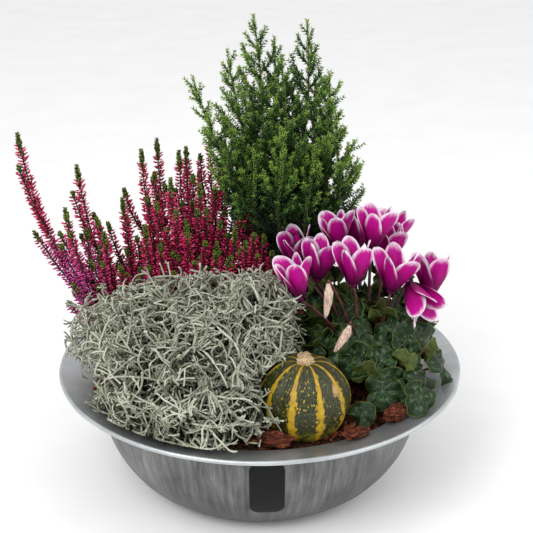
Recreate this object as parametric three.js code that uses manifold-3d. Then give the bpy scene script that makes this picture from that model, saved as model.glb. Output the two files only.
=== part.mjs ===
// A round zinc bowl planted for autumn: a dwarf conifer at the back, budding heather on the left, a silver
// cushion bush in front of it, a cyclamen on the right and a striped gourd at the front, in soil strewn
// with bark. Millimetres, +Z up. The origin is the centre of the bowl's foot. The bowl's front, with its
// plain plate, faces -Y.
import * as THREE from "three";
import { mergeGeometries, mergeVertices } from "three/addons/utils/BufferGeometryUtils.js";
import Module from "manifold-3d";

const wasm = await Module();
wasm.setup();

// ---------- Driving dimensions ----------
const GAP = 0.4; // between neighbouring pieces

const RIM_RADIUS = 200;
const BOWL_HEIGHT = 122;
const FOOT_RADIUS = 95;
const NECK_RADIUS = 164; // where the wall turns out into the rim
const NECK_HEIGHT = 110;
const ZINC = 1.6; // thickness of the sheet
const LIP_RADIUS = 2.2; // of the rolled edge
const BOWL_SIDES = 32;

const PLATE_WIDTH = 32;
const PLATE_BOTTOM = 36; // heights on the bowl's wall
const PLATE_TOP = 98;
const PLATE_CORNER = 9;
const PLATE_THICKNESS = 0.8;
const PLATE_X = 7;

const SOIL_EDGE = 108;
const SOIL_CROWN = 116; // the soil is heaped towards the middle
const SOIL_SIDES = BOWL_SIDES / 2;
const CHIPS = 16;

const GOURD_RADIUS = 41;
const GOURD_HEIGHT = 79;
const GOURD_CENTRE = [41, -123, 142];
const GOURD_RIBS = 10;
const RIB_DEPTH = 0.05; // as a share of the radius
const DIMPLE_DEPTH = 5; // at the gourd's top and bottom
const GOURD_STEM_LENGTH = 12;
const GOURD_STEM_RADII = [4.4, 6.2]; // at its cut end and at the gourd

const BUD_STEP = 14; // between two rows of heather buds
const BUD_REACH = 7; // from the stem's middle to a bud's tip
const SPRIG_STEM = 1.3;
const BARE_STEM = 24; // the length without buds, at the foot

const CONIFER_TRUNK = 3.4;
const CONIFER_STEM = 1.9;
const NEEDLE_STEP = 12;
const NEEDLE_REACH = 6;
const TWIGS_PER_LEADER = 3;
const CROWN_BOTTOM = 140; // of the crown's dense middle
const CROWN_TOP = 350;
const CROWN_CORE = 26; // its half width
const CROWN_RADIUS = 54; // how far the twigs reach
const CROWN_TWIGS = 30;

const BUSH_CENTRE = [-76, -84, 149];
const BUSH_CORE = [58, 52, 25]; // half sizes of the matted middle
const BUSH_REACH = [102, 96, 58]; // half width, half depth and half height of the whole bush
const BUSH_ROOTED = 0.38; // where the wires start, as a share of the reach: inside the middle
const BUSH_LIMIT = 190; // no wire reaches further from the bowl's axis
const BUSH_TRUNK = 5.5;
const WIRE_RADIUS = 1.3;
const BUSH_STEMS = 36;

const CORM_CENTRE = [104, -28, 112];
const CORM_RADIUS = 19;
const STALK_RADIUS = 1.4;
const MOUTH_RADIUS = 4.6;
const PETAL_LENGTH = 38;
const PETAL_HALF_WIDTH = 9.5;
const PETAL_SPREAD = 19; // from the bloom's axis to a petal's tip
const SPENT_RADII = [2, 4.2, 3, 0.8]; // of a withered flower, from its stalk to its tip
const LEAF_WAVE = 2.8; // height of the waves in a leaf's edge
const BLADE = 0.9; // thickness of petals and leaves

// ---------- Where the plants stand ----------
// Each heather sprig's tip, and the place in the soil where its stem stands.
const HEATHER_SPRIGS = [
  { tip: [-230, 20, 346], root: [-122, 30] },
  { tip: [-178, 32, 311], root: [-108, 46] },
  { tip: [-186, 0, 278], root: [-116, 8] },
  { tip: [-118, 62, 318], root: [-90, 64] },
  { tip: [-106, 98, 319], root: [-80, 94] },
  { tip: [-136, 36, 276], root: [-98, 36] },
  { tip: [-82, 76, 313], root: [-66, 74] },
  { tip: [-88, 40, 295], root: [-76, 46] },
  { tip: [-60, 50, 286], root: [-54, 54] },
  { tip: [-52, 104, 329], root: [-44, 92] },
  { tip: [-78, 122, 304], root: [-66, 112] },
  { tip: [-25, 34, 246], root: [-34, 38] },
  { tip: [-152, 10, 250], root: [-106, 20] },
  { tip: [-112, 14, 256], root: [-90, 20] },
  { tip: [-72, 16, 260], root: [-68, 26] },
  { tip: [-42, 8, 240], root: [-48, 16] },
];
// The conifer's trunk, and each leading shoot's middle and tip.
const CONIFER_ROOT = [24, 76];
const CONIFER_LEADERS = [
  { middle: [10, 72, 290], tip: [-6, 75, 448] },
  { middle: [42, 84, 300], tip: [46, 82, 442] },
  { middle: [-10, 90, 280], tip: [-32, 88, 412] },
  { middle: [-18, 58, 260], tip: [-65, 60, 392] },
  { middle: [62, 62, 260], tip: [67, 62, 396] },
  { middle: [68, 90, 230], tip: [99, 78, 304] },
  { middle: [22, 32, 250], tip: [20, 26, 350] },
];
// Each bloom's foot, the way its petals point, and its turn.
const BLOOMS = [
  { foot: [38, -58, 211], axis: [-0.24, 0.05, 1], turn: -8 },
  { foot: [55, -20, 214], axis: [0.09, 0.02, 1], turn: 13 },
  { foot: [78, 21, 227], axis: [-0.13, 0.04, 1], turn: 58 },
  { foot: [98, 59, 215], axis: [0.04, 0.14, 1], turn: 26 },
  { foot: [129, 51, 216], axis: [0.21, -0.09, 1], turn: 52 },
  { foot: [88, -46, 220], axis: [-0.04, 0.01, 1], turn: 24 },
  { foot: [123, 11, 217], axis: [0.08, -0.08, 1], turn: 24 },
  { foot: [124, -39, 210], axis: [0.14, -0.06, 1], turn: 21 },
  { foot: [167, 2, 187], axis: [0.06, 0.18, 1], turn: 12 },
  { foot: [142, -30, 213], axis: [0.5, -0.9, -0.5], turn: 47 },
  { foot: [38, 28, 209], axis: [-0.08, -0.18, 1], turn: 24 },
  { foot: [106, -16, 244], axis: [0.13, 0.03, 1], turn: 37 },
];
// Two spent flowers that hang withered from their stalks: top and tip.
const SPENT_FLOWERS = [
  { top: [63, -62, 227], tip: [61, -66, 194] },
  { top: [83, -78, 192], tip: [69, -84, 168] },
];
// Each cyclamen leaf's middle and its half width.
const LEAVES = [
  { at: [62, -20, 150], half: 19 },
  { at: [84, 12, 160], half: 19 },
  { at: [126, 8, 164], half: 19 },
  { at: [76, -56, 148], half: 20 },
  { at: [112, -72, 154], half: 20 },
  { at: [150, -24, 154], half: 20 },
  { at: [154, 22, 142], half: 18 },
  { at: [112, -104, 138], half: 18 },
  { at: [146, -74, 140], half: 20 },
  { at: [176, -50, 136], half: 18 },
  { at: [92, -128, 127], half: 12 },
  { at: [146, -106, 130], half: 16 },
  { at: [58, 22, 142], half: 18 },
];
// The larger pieces of bark: middle, half sizes and turn.
const BARK_PIECES = [
  { at: [14, -157, 119], half: [15, 8, 7], turn: -6 },
  { at: [124, -117, 123], half: [14, 8, 7], turn: 45 },
  { at: [86, -150, 121], half: [11, 6, 5], turn: 30 },
  { at: [-150, -60, 121], half: [14, 8, 7], turn: 68 },
];

// ---------- Materials ----------
const finish = (color, roughness, metalness = 0) =>
  new THREE.MeshStandardMaterial({ color, roughness, metalness, side: THREE.DoubleSide });
const zinc = finish(0x9a9ea0, 0.38, 0.9);
const blackPlate = finish(0x17181a, 0.5);
const soilBrown = finish(0x3a241b, 0.95);
const barkBrown = finish(0x70402c, 0.9);
const gourdGreen = finish(0x2f3d1c, 0.5);
const strawBrown = finish(0xb09367, 0.8);
const coniferGreen = finish(0x3c6a2b, 0.75);
const heatherPink = finish(0xa02a55, 0.7);
const silverGrey = finish(0xb9c0b4, 0.85);
const stalkRed = finish(0x4a2226, 0.6);
const petalMagenta = finish(0xc02a9a, 0.55);
const spentPink = finish(0xc8aaa0, 0.8);
const leafGreen = finish(0x2c4a30, 0.5);

// ---------- Making solids ----------
const point = (p) => new THREE.Vector3(...p);
const radians = THREE.MathUtils.degToRad;
const mix = THREE.MathUtils.lerp;
const UP = new THREE.Vector3(0, 0, 1);
const GOLDEN_ANGLE = Math.PI * (3 - Math.sqrt(5));

// The same number from 0 to 1 for the same pair, every time.
function draw(i, k) {
  const x = Math.sin(i * 12.9898 + k * 78.233) * 43758.5453;
  return x - Math.floor(x);
}

// The same way for the same pair, with up to half a unit along each axis.
function drawnShift(i, k) {
  return new THREE.Vector3(draw(i, k), draw(i, k + 0.3), draw(i, k + 0.6)).subScalar(0.5);
}

function positionsOnly(geometry) {
  const bare = new THREE.BufferGeometry();
  bare.setAttribute("position", geometry.attributes.position);
  return bare.setIndex(geometry.index);
}

const withSharedVertices = (geometry) => mergeVertices(positionsOnly(geometry), 1e-4);

function solidOf(geometry) {
  const merged = withSharedVertices(geometry);
  return new wasm.Manifold(
    new wasm.Mesh({
      numProp: 3,
      vertProperties: new Float32Array(merged.attributes.position.array),
      triVerts: new Uint32Array(merged.index.array),
    }),
  );
}

const joined = (solids) => solids.reduce((whole, solid) => whole.add(solid));

// All the solids as one body. A scrap that hangs on nothing is dropped.
const fused = (solids) => joined(solids).decompose().sort((a, b) => b.volume() - a.volume())[0];

const planter = new THREE.Group();
const placed = []; // the solids that already have their place

function place(name, solid, material) {
  const { numProp, numVert, vertProperties, triVerts } = solid.getMesh();
  const positions = new Float32Array(numVert * 3);
  for (let i = 0; i < numVert; i++) {
    positions.set(vertProperties.subarray(i * numProp, i * numProp + 3), i * 3);
  }
  const geometry = new THREE.BufferGeometry();
  geometry.setAttribute("position", new THREE.BufferAttribute(positions, 3));
  geometry.setIndex(new THREE.BufferAttribute(triVerts, 1));
  geometry.computeVertexNormals();
  const mesh = new THREE.Mesh(geometry, material);
  mesh.name = name;
  planter.add(mesh);
  placed.push(solid);
}

function placeEach(name, specs, make, material) {
  specs.forEach((spec, k) => {
    place(`${name}_${String(k + 1).padStart(2, "0")}`, make(spec, k), material);
  });
}

function standsClear(solid, others = placed) {
  return others.every((other) => other.minGap(solid, GAP) >= GAP);
}

// The first of make(0), make(1) and so on that touches nothing.
function firstClear(make, tries, others = []) {
  for (let k = 0; k < tries; k++) {
    const solid = make(k);
    if (standsClear(solid) && standsClear(solid, others)) return solid;
  }
  return null;
}

// Moves every point of a geometry to where move(point) puts it.
function reshape(geometry, move) {
  const position = geometry.attributes.position;
  const spot = new THREE.Vector3();
  for (let i = 0; i < position.count; i++) {
    move(spot.fromBufferAttribute(position, i));
    position.setXYZ(i, spot.x, spot.y, spot.z);
  }
  return geometry;
}

// A closed cylinder bent along a curve. section(ring, side) gives the distance from the curve and the
// shift along it.
function alongCurve(curve, sides, rings, section, tipLength = 0) {
  const geometry = new THREE.CylinderGeometry(1, 1, 1, sides, rings);
  const { tangents, normals, binormals } = curve.computeFrenetFrames(rings, false);
  const middles = curve.getSpacedPoints(rings);
  return solidOf(reshape(geometry, (p) => {
    const ring = Math.round((p.y + 0.5) * rings);
    const side = (Math.round((Math.atan2(p.x, p.z) / (2 * Math.PI)) * sides) + sides) % sides;
    const onAxis = Math.hypot(p.x, p.z) < 0.5;
    const [radius, shift] = onAxis ? [0, ring === rings ? tipLength : 0] : section(ring, side);
    const [across, forward] = [p.x * radius, p.z * radius];
    p.copy(middles[ring]).addScaledVector(tangents[ring], shift);
    p.addScaledVector(normals[ring], forward).addScaledVector(binormals[ring], across);
  }));
}

// A blade: both faces of a sheet, split into the same triangles, joined round the sheet's edge.
function blade(sheet, thickness) {
  const merged = withSharedVertices(sheet);
  merged.computeVertexNormals();
  const { position, normal } = merged.attributes;
  const count = position.count;
  const points = [];
  for (const offset of [thickness / 2, -thickness / 2]) {
    for (let i = 0; i < count; i++) {
      points.push(position.getX(i) + normal.getX(i) * offset);
      points.push(position.getY(i) + normal.getY(i) * offset);
      points.push(position.getZ(i) + normal.getZ(i) * offset);
    }
  }
  const faces = [];
  const edges = new Set();
  const corners = merged.index.array;
  for (let i = 0; i < corners.length; i += 3) {
    const [a, b, c] = corners.subarray(i, i + 3);
    if (a === b || b === c || c === a) continue;
    faces.push(a, b, c, count + a, count + c, count + b);
    for (const [from, to] of [[a, b], [b, c], [c, a]]) edges.add(from * count + to);
  }
  for (const edge of edges) {
    const [from, to] = [Math.floor(edge / count), edge % count];
    if (edges.has(to * count + from)) continue;
    faces.push(to, from, count + from, to, count + from, count + to);
  }
  const geometry = new THREE.BufferGeometry();
  geometry.setAttribute("position", new THREE.Float32BufferAttribute(points, 3));
  geometry.setIndex(faces);
  return geometry;
}

// The matrix that stands a shape's +Z along a direction, turned about it, at a spot.
function stood(spot, direction, turn = 0) {
  const upright = new THREE.Quaternion().setFromUnitVectors(UP, direction.clone().normalize());
  const spun = new THREE.Quaternion().setFromAxisAngle(UP, turn);
  return new THREE.Matrix4().compose(spot, upright.multiply(spun), new THREE.Vector3(1, 1, 1));
}

// A curve from the ground to its end, with its bend at a share of the way out and a share of the way up.
function risingCurve(foot, end, out, up) {
  const bend = foot.clone().lerp(end, out).setZ(mix(foot.z, end.z, up));
  return new THREE.QuadraticBezierCurve3(foot, bend, end);
}

// Plain straight holes in the soil, one for each stem: the stem's foot and the way it leaves the soil.
const stemHoles = [];
function boreFor(curve, radius) {
  const [foot, direction] = [curve.getPoint(0), curve.getTangent(0)];
  const hole = new THREE.CylinderGeometry(radius, radius, 26, 5).rotateX(Math.PI / 2);
  stemHoles.push(solidOf(hole.applyMatrix4(stood(foot.addScaledVector(direction, 12), direction))));
}

// ---------- The bowl and its plate ----------
// A quarter ellipse from the flat foot up to the neck, drawn in by inset.
function wallProfile(inset, steps) {
  const [width, height] = [NECK_RADIUS - FOOT_RADIUS - inset, NECK_HEIGHT - inset];
  const quarter = new THREE.EllipseCurve(FOOT_RADIUS, NECK_HEIGHT, width, height, -Math.PI / 2, 0);
  return quarter.getPoints(steps);
}

const lathed = (profile, sides) => new THREE.LatheGeometry(profile, sides).rotateX(Math.PI / 2);
const flat = (radius, height) => new THREE.Vector2(radius, height);

function bowl() {
  const lip = flat(RIM_RADIUS - LIP_RADIUS, BOWL_HEIGHT - LIP_RADIUS);
  const rolled = [-120, -40, 40, 110].map((angle) => {
    const around = new THREE.Vector2(Math.cos(radians(angle)), Math.sin(radians(angle)));
    return around.multiplyScalar(LIP_RADIUS).add(lip);
  });
  const profile = [
    flat(0, 0),
    ...wallProfile(0, 7),
    flat(NECK_RADIUS + 4, NECK_HEIGHT + 2),
    ...rolled,
    flat(NECK_RADIUS + 3, NECK_HEIGHT + 2 + ZINC),
    ...wallProfile(ZINC, 4).reverse(),
    flat(0, ZINC),
  ];
  return solidOf(lathed(profile, BOWL_SIDES));
}

// The wall's outer radius at a height.
function wallRadius(z) {
  const drop = (NECK_HEIGHT - z) / NECK_HEIGHT;
  return FOOT_RADIUS + (NECK_RADIUS - FOOT_RADIUS) * Math.sqrt(1 - drop * drop);
}

// A thin plate with round corners, bent to the wall that it is stuck to.
function plate() {
  const straightX = PLATE_WIDTH / 2 - PLATE_CORNER;
  const straightZ = (PLATE_TOP - PLATE_BOTTOM) / 2 - PLATE_CORNER;
  const sheet = reshape(new THREE.RingGeometry(0, 1, 16, 2), (p) => {
    const reach = Math.hypot(p.x, p.y);
    const [cos, sin] = reach ? [p.x / reach, p.y / reach] : [0, 0];
    const x = THREE.MathUtils.clamp(cos * straightX * 3, -straightX, straightX) + PLATE_CORNER * cos;
    const z = THREE.MathUtils.clamp(sin * straightZ * 1.6, -straightZ, straightZ) + PLATE_CORNER * sin;
    const height = (PLATE_TOP + PLATE_BOTTOM) / 2 + z * reach;
    const radius = wallRadius(height) + GAP + PLATE_THICKNESS;
    const around = (PLATE_X + x * reach) / radius;
    p.set(Math.sin(around) * radius, -Math.cos(around) * radius, height);
  });
  return solidOf(blade(sheet, PLATE_THICKNESS));
}

// ---------- The gourd and the bark ----------
function gourd() {
  const geometry = new THREE.SphereGeometry(1, GOURD_RIBS * 3, 9).rotateX(Math.PI / 2);
  reshape(geometry, (p) => {
    const girth = Math.hypot(p.x, p.y);
    const furrow = 0.5 - 0.5 * Math.cos(Math.atan2(p.y, p.x) * GOURD_RIBS);
    const radius = GOURD_RADIUS * (1 - RIB_DEPTH * girth * furrow);
    const dimple = DIMPLE_DEPTH * Math.exp(-14 * girth * girth);
    p.set(p.x * radius, p.y * radius, p.z * (GOURD_HEIGHT / 2) - Math.sign(p.z) * dimple);
    p.add(point(GOURD_CENTRE));
  });
  return solidOf(geometry);
}

// A five-edged stem, twisted and leaning, that stands in the gourd's dimple.
function gourdStem() {
  const geometry = new THREE.CylinderGeometry(...GOURD_STEM_RADII, GOURD_STEM_LENGTH, 5, 2);
  reshape(geometry.rotateX(Math.PI / 2), (p) => {
    p.applyAxisAngle(UP, p.z * 0.05).setX(p.x - p.z * 0.15);
  });
  const rise = (GOURD_HEIGHT + GOURD_STEM_LENGTH) / 2 - DIMPLE_DEPTH + 1.4;
  return solidOf(geometry.translate(...GOURD_CENTRE).translate(0, 0, rise));
}

// A torn lump of bark, longest along X before its turn.
function barkPiece({ at, half, turn }, seed) {
  const geometry = new THREE.SphereGeometry(1, 7, 4).rotateZ(Math.PI / 2);
  reshape(geometry, (p) => {
    const pull = 0.8 + 0.25 * draw(seed, Math.round(p.x * 7 + p.y * 31 + p.z * 53));
    p.set(p.x * half[0], p.y * half[1], p.z * half[2]).multiplyScalar(pull);
    p.applyAxisAngle(UP, radians(turn));
  });
  return solidOf(geometry.translate(...at));
}

// ---------- The soil ----------
function soilHeight(x, y) {
  const out = Math.hypot(x, y) / NECK_RADIUS;
  const bumps = 1.2 * Math.sin(x * 0.11 + 1) * Math.cos(y * 0.13) * (1 - out);
  return mix(SOIL_CROWN, SOIL_EDGE, out * out) + bumps;
}

function soilBed() {
  const wall = wallProfile(ZINC + 2 * GAP, 4);
  const edge = wall.pop().x;
  const profile = [flat(0, ZINC + GAP), ...wall, flat(edge, SOIL_EDGE)];
  for (const share of [0.84, 0.6, 0.3, 0]) profile.push(flat(edge * share, SOIL_CROWN));
  return solidOf(reshape(lathed(profile, SOIL_SIDES), (p) => {
    if (p.z >= SOIL_EDGE) p.z = soilHeight(p.x, p.y);
  }));
}

// A flake of bark, sunk in the soil near the bowl's wall.
function chip(seed) {
  const angle = seed * GOLDEN_ANGLE;
  const out = mix(120, 152, draw(seed, 1));
  const [x, y] = [Math.cos(angle) * out, Math.sin(angle) * out];
  const geometry = new THREE.BoxGeometry(mix(10, 20, draw(seed, 2)), mix(6, 11, draw(seed, 3)), 8);
  geometry.rotateX((draw(seed, 5) - 0.5) * 0.9).rotateZ(draw(seed, 7) * Math.PI);
  return solidOf(geometry.translate(x, y, soilHeight(x, y) + 1));
}

// The bed and its flakes, with a hole round each stem and a hollow under each thing that is pressed into it.
function soil(pressedIn) {
  const flakes = [...Array(CHIPS).keys()].map(chip).filter((flake) => standsClear(flake));
  const hollows = pressedIn.map((solid) => {
    const { min, max } = solid.boundingBox();
    const middle = min.map((low, axis) => (low + max[axis]) / 2);
    return solid.translate(middle.map((m) => -m)).scale(1.05).translate(middle);
  });
  return fused([joined([soilBed(), ...flakes]).subtract(joined([...stemHoles, ...hollows]))]);
}

// ---------- The heather ----------
// A stem with buds in rows that stand out to all sides, offset from row to row, and a green shoot end.
function heatherSprig({ tip, root }) {
  const curve = risingCurve(point([...root, SOIL_EDGE]), point(tip), 0.85, 0.38);
  const rings = Math.round(curve.getLength() / BUD_STEP);
  boreFor(curve, SPRIG_STEM + 1);
  return alongCurve(curve, 6, rings, (ring, side) => {
    const left = rings - ring;
    if (ring * BUD_STEP < BARE_STEM || left === 0) return [SPRIG_STEM, 0];
    const bud = (ring + side) % 2 === 0;
    if (left === 1) return bud ? [3.2, 4] : [2, 0];
    return bud ? [left === 2 ? BUD_REACH * 0.75 : BUD_REACH, 4] : [SPRIG_STEM, 0];
  }, 4);
}

// ---------- The conifer ----------
// A shoot with needles all round, pointing forwards, after a bare share of its length.
function needledShoot(curve, stem, step, bareShare = 0) {
  const rings = Math.max(3, Math.round(curve.getLength() / step));
  return alongCurve(curve, 4, rings, (ring, side) => {
    const share = ring / rings;
    if (share <= bareShare || (ring + side) % 2) return [stem * mix(1, 0.5, share), 0];
    return [NEEDLE_REACH * (ring === rings ? 0.4 : mix(1, 0.8, share)), NEEDLE_STEP * 0.45];
  }, 4);
}

// A twig that leaves a stem outwards and sweeps up beside it.
function coniferTwig(start, along, azimuth, length) {
  const out = new THREE.Vector3(Math.cos(azimuth), Math.sin(azimuth), 0);
  const bend = start.clone().addScaledVector(out, length * 0.5).addScaledVector(along, length * 0.2);
  const end = start.clone().addScaledVector(out, length * 0.7).addScaledVector(along, length * 0.75);
  return needledShoot(new THREE.QuadraticBezierCurve3(start, bend, end), 1.2, NEEDLE_STEP);
}

// The trunk and the dense middle of the crown, with twigs that stand out of it all round, and the leading
// shoots with the twigs near their tips.
function conifer() {
  const foot = point([...CONIFER_ROOT, SOIL_EDGE]);
  const trunk = new THREE.LineCurve3(foot, foot.clone().setZ(CROWN_BOTTOM + 30));
  boreFor(trunk, CONIFER_TRUNK + 1.6);
  const middle = new THREE.SphereGeometry(1, 8, 6).rotateX(Math.PI / 2);
  middle.scale(CROWN_CORE, CROWN_CORE * 0.85, (CROWN_TOP - CROWN_BOTTOM) / 2);
  middle.translate(...CONIFER_ROOT, (CROWN_TOP + CROWN_BOTTOM) / 2);
  const shoots = [alongCurve(trunk, 6, 1, () => [CONIFER_TRUNK, 0]), solidOf(middle)];
  const inside = shoots.length;
  const addTwig = (start, along, azimuth, length, others) => {
    const twigTurned = (turned) => coniferTwig(start, along, azimuth + turned, length);
    const twig = firstClear(twigTurned, 6, others);
    if (twig) shoots.push(twig);
  };
  const fork = foot.clone().setZ(CROWN_BOTTOM + 20);
  CONIFER_LEADERS.forEach(({ middle: halfway, tip }, number) => {
    const leader = new THREE.CatmullRomCurve3([fork, point(halfway), point(tip)]);
    const others = shoots.slice(inside);
    shoots.push(needledShoot(leader, CONIFER_STEM, NEEDLE_STEP * 1.8, 0.72));
    for (let k = 0; k < TWIGS_PER_LEADER; k++) {
      const share = mix(0.5, 0.92, (k + 0.5 * draw(number, k)) / TWIGS_PER_LEADER);
      const [start, along] = [leader.getPointAt(share), leader.getTangentAt(share)];
      addTwig(start, along, k * GOLDEN_ANGLE + number, mix(48, 24, share), others);
    }
  });
  const leadersEnd = shoots.length;
  for (let k = 0; k < CROWN_TWIGS; k++) {
    const height = mix(CROWN_BOTTOM + 16, CROWN_TOP - 20, (k + 0.5) / CROWN_TWIGS);
    const others = shoots.slice(leadersEnd);
    addTwig(foot.clone().setZ(height), UP, k * GOLDEN_ANGLE, CROWN_RADIUS / 0.7, others);
  }
  return fused(shoots);
}

// ---------- The cyclamen ----------
// A bloom is one sheet: a small mouth with five sides, and a petal that sweeps up from each side and stands
// askew, so that one of its edges is outside the next petal's.
function petal(number) {
  const sheet = new THREE.RingGeometry(0, 1, 7, 1, Math.PI / 7).rotateZ(Math.PI);
  const foot = -Math.cos(Math.PI / 7);
  const footWidth = (MOUTH_RADIUS * Math.sin(Math.PI / 5)) / Math.sin(Math.PI / 7);
  return reshape(sheet, (p) => {
    const share = Math.max(0, (p.x - foot) / (1 - foot)); // from the mouth to the tip
    const width = mix(footWidth, PETAL_HALF_WIDTH, share ** 2);
    const away = mix(MOUTH_RADIUS * Math.cos(Math.PI / 5), PETAL_SPREAD, share ** 0.8);
    p.set(away + p.y * share * 5, p.y * width, share * PETAL_LENGTH);
  }).rotateZ((number * 2 * Math.PI) / 5);
}

function bloom({ foot, axis, turn }) {
  const mouth = new THREE.CircleGeometry(MOUTH_RADIUS, 5, Math.PI / 5);
  const sheet = mergeGeometries([mouth, ...[0, 1, 2, 3, 4].map(petal)].map(positionsOnly));
  return solidOf(blade(sheet, BLADE).applyMatrix4(stood(point(foot), point(axis), radians(turn))));
}

// A withered flower, shrunk to a pleated rag that hangs down.
function spentFlower({ top, tip }) {
  const line = new THREE.LineCurve3(point(top), point(tip));
  return alongCurve(line, 5, 3, (ring, side) => [SPENT_RADII[ring] * (side % 2 ? 1 : 0.75), 0]);
}

// The heart-shaped outline with its waved edge, lying flat, with the stalk's joint at its middle.
function leafSheet(half, seed) {
  return reshape(new THREE.RingGeometry(0, 1, 10, 2), (p) => {
    const angle = Math.atan2(p.y, p.x);
    const reach = Math.hypot(p.x, p.y);
    const notch = 1 - 0.45 * Math.exp(-(((Math.abs(angle) - Math.PI) / 0.4) ** 2));
    const apex = 1 + 0.12 * Math.exp(-((angle / 0.5) ** 2));
    const wave = LEAF_WAVE * reach * reach * Math.sin(angle * 4 + seed * 1.7);
    p.set(p.x * half * notch * apex, p.y * half * notch, wave - 0.2 * half * reach * reach);
  });
}

// A leaf and its stalk, which leans out from the corm. A leaf further out is tipped more. One whose place
// is taken is moved a little.
function leaf({ at, half }, seed) {
  const sheet = blade(leafSheet(half, seed), BLADE);
  return firstClear((moved) => {
    const spot = point(at).addScaledVector(drawnShift(seed, moved), moved * 0.5);
    const outward = new THREE.Vector3(spot.x - CORM_CENTRE[0], spot.y - CORM_CENTRE[1], 0);
    const tilt = THREE.MathUtils.clamp(outward.length() / 80, 0.2, 1);
    const footRise = 9 - outward.length() / 14;
    outward.normalize();
    const facing = outward.clone().multiplyScalar(Math.sin(tilt)).addScaledVector(UP, Math.cos(tilt));
    const foot = point(CORM_CENTRE).addScaledVector(outward, CORM_RADIUS + 1);
    foot.z += footRise;
    const standing = stood(spot, facing, draw(seed, 9) * 2 - 1 + moved * 0.7);
    const stalk = alongCurve(risingCurve(foot, spot, 0.6, 0.5), 3, 2, () => [STALK_RADIUS * 0.8, 0]);
    return fused([solidOf(sheet.clone().applyMatrix4(standing)), stalk]);
  }, 60);
}

// The corm in the soil, with the stalks that carry the flowers.
function cormAndStalks() {
  const corm = new THREE.SphereGeometry(CORM_RADIUS, 10, 6).rotateX(Math.PI / 2);
  stemHoles.push(solidOf(corm.clone().scale(1.3, 1.3, 1.2).translate(...CORM_CENTRE)));
  const parts = [solidOf(corm.scale(1, 1, 0.6).translate(...CORM_CENTRE))];
  const below = ({ foot, axis }) =>
    point(foot).addScaledVector(point(axis).normalize(), -STALK_RADIUS - 1);
  const above = ({ top }) => point(top).addScaledVector(UP, 4.5);
  const ends = [...BLOOMS.map(below), ...SPENT_FLOWERS.map(above)];
  for (const end of ends) {
    const outward = new THREE.Vector3(end.x - CORM_CENTRE[0], end.y - CORM_CENTRE[1], 0).normalize();
    const foot = point(CORM_CENTRE).addScaledVector(outward, 10).addScaledVector(UP, 6);
    parts.push(alongCurve(risingCurve(foot, end, 0.25, 0.6), 3, 2, () => [STALK_RADIUS, 0]));
  }
  return fused(parts);
}

// ---------- The cushion bush ----------
// The place in the bush that lies in a direction from its middle. No wire reaches past the bowl's rim.
function bushSpot(direction, reach) {
  const spot = direction.clone().normalize().multiply(point(BUSH_REACH)).multiplyScalar(reach);
  spot.add(point(BUSH_CENTRE));
  const inside = Math.min(1, BUSH_LIMIT / Math.hypot(spot.x, spot.y));
  return spot.setX(spot.x * inside).setY(spot.y * inside);
}

// The direction, leant over by up to a share of its length, another way for each seed.
function leant(direction, share, seed, k) {
  return direction.clone().normalize().addScaledVector(drawnShift(seed, k), 2 * share);
}

function wire(curve, rings) {
  return alongCurve(curve, 3, rings, (ring) => [WIRE_RADIUS * mix(1.15, 0.85, ring / rings), 0]);
}

const bushTrunk = new THREE.LineCurve3(point(BUSH_CENTRE).setZ(SOIL_EDGE), point(BUSH_CENTRE));

// A matted middle, and wires that lie over it in all directions, each with branches that veer off.
function cushionBush() {
  const middle = point(BUSH_CENTRE);
  const core = new THREE.SphereGeometry(1, 9, 5).rotateX(Math.PI / 2).scale(...BUSH_CORE);
  const trunk = alongCurve(bushTrunk, 6, 1, () => [BUSH_TRUNK, 0]);
  const parts = [solidOf(core.translate(...BUSH_CENTRE)), trunk];
  const outside = parts.length;
  for (let k = 0; k < BUSH_STEMS; k++) {
    const height = mix(-0.1, 0.98, ((k + 0.5) / BUSH_STEMS) ** 0.8);
    const [angle, out] = [k * GOLDEN_ANGLE, Math.sqrt(1 - height ** 2)];
    const direction = new THREE.Vector3(Math.sin(angle) * out, Math.cos(angle) * out, height);
    const others = parts.slice(outside);
    let curve;
    const stem = firstClear((turned) => {
      const end = leant(direction, 1.1, k, turned);
      const bend = bushSpot(direction.clone().add(end), 1.04);
      curve = new THREE.QuadraticBezierCurve3(bushSpot(direction, BUSH_ROOTED), bend, bushSpot(end, 0.98));
      return wire(curve, 3);
    }, 40, others);
    if (!stem) continue;
    parts.push(stem);
    for (const share of [0.45, 0.8]) {
      const start = curve.getPointAt(share);
      const branch = firstClear((turned) => {
        const end = leant(start.clone().sub(middle).divide(point(BUSH_REACH)), 0.8, k + share, turned);
        const bend = start.clone().lerp(bushSpot(end, 1), 0.5).addScaledVector(UP, 4);
        const tip = bushSpot(end, mix(0.9, 1.04, share));
        return wire(new THREE.QuadraticBezierCurve3(start, bend, tip), 2);
      }, 20, others);
      if (branch) parts.push(branch);
    }
  }
  return fused(parts);
}

// ---------- Assembly ----------
place("bowl", bowl(), zinc);
place("plate", plate(), blackPlate);
const pressedFrom = placed.length;
place("gourd", gourd(), gourdGreen);
placeEach("bark_piece", BARK_PIECES, barkPiece, barkBrown);
const pressedIn = placed.slice(pressedFrom);
place("gourd_stem", gourdStem(), strawBrown);
placeEach("cyclamen_bloom", BLOOMS, bloom, petalMagenta);
placeEach("spent_flower", SPENT_FLOWERS, spentFlower, spentPink);
place("cyclamen_stalks", cormAndStalks(), stalkRed);
placeEach("cyclamen_leaf", LEAVES, leaf, leafGreen);
placeEach("heather_sprig", HEATHER_SPRIGS, heatherSprig, heatherPink);
place("conifer", conifer(), coniferGreen);
boreFor(bushTrunk, BUSH_TRUNK + 3);
place("soil", soil(pressedIn), soilBrown);
place("cushion_bush", cushionBush(), silverGrey);

export default planter;
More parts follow.
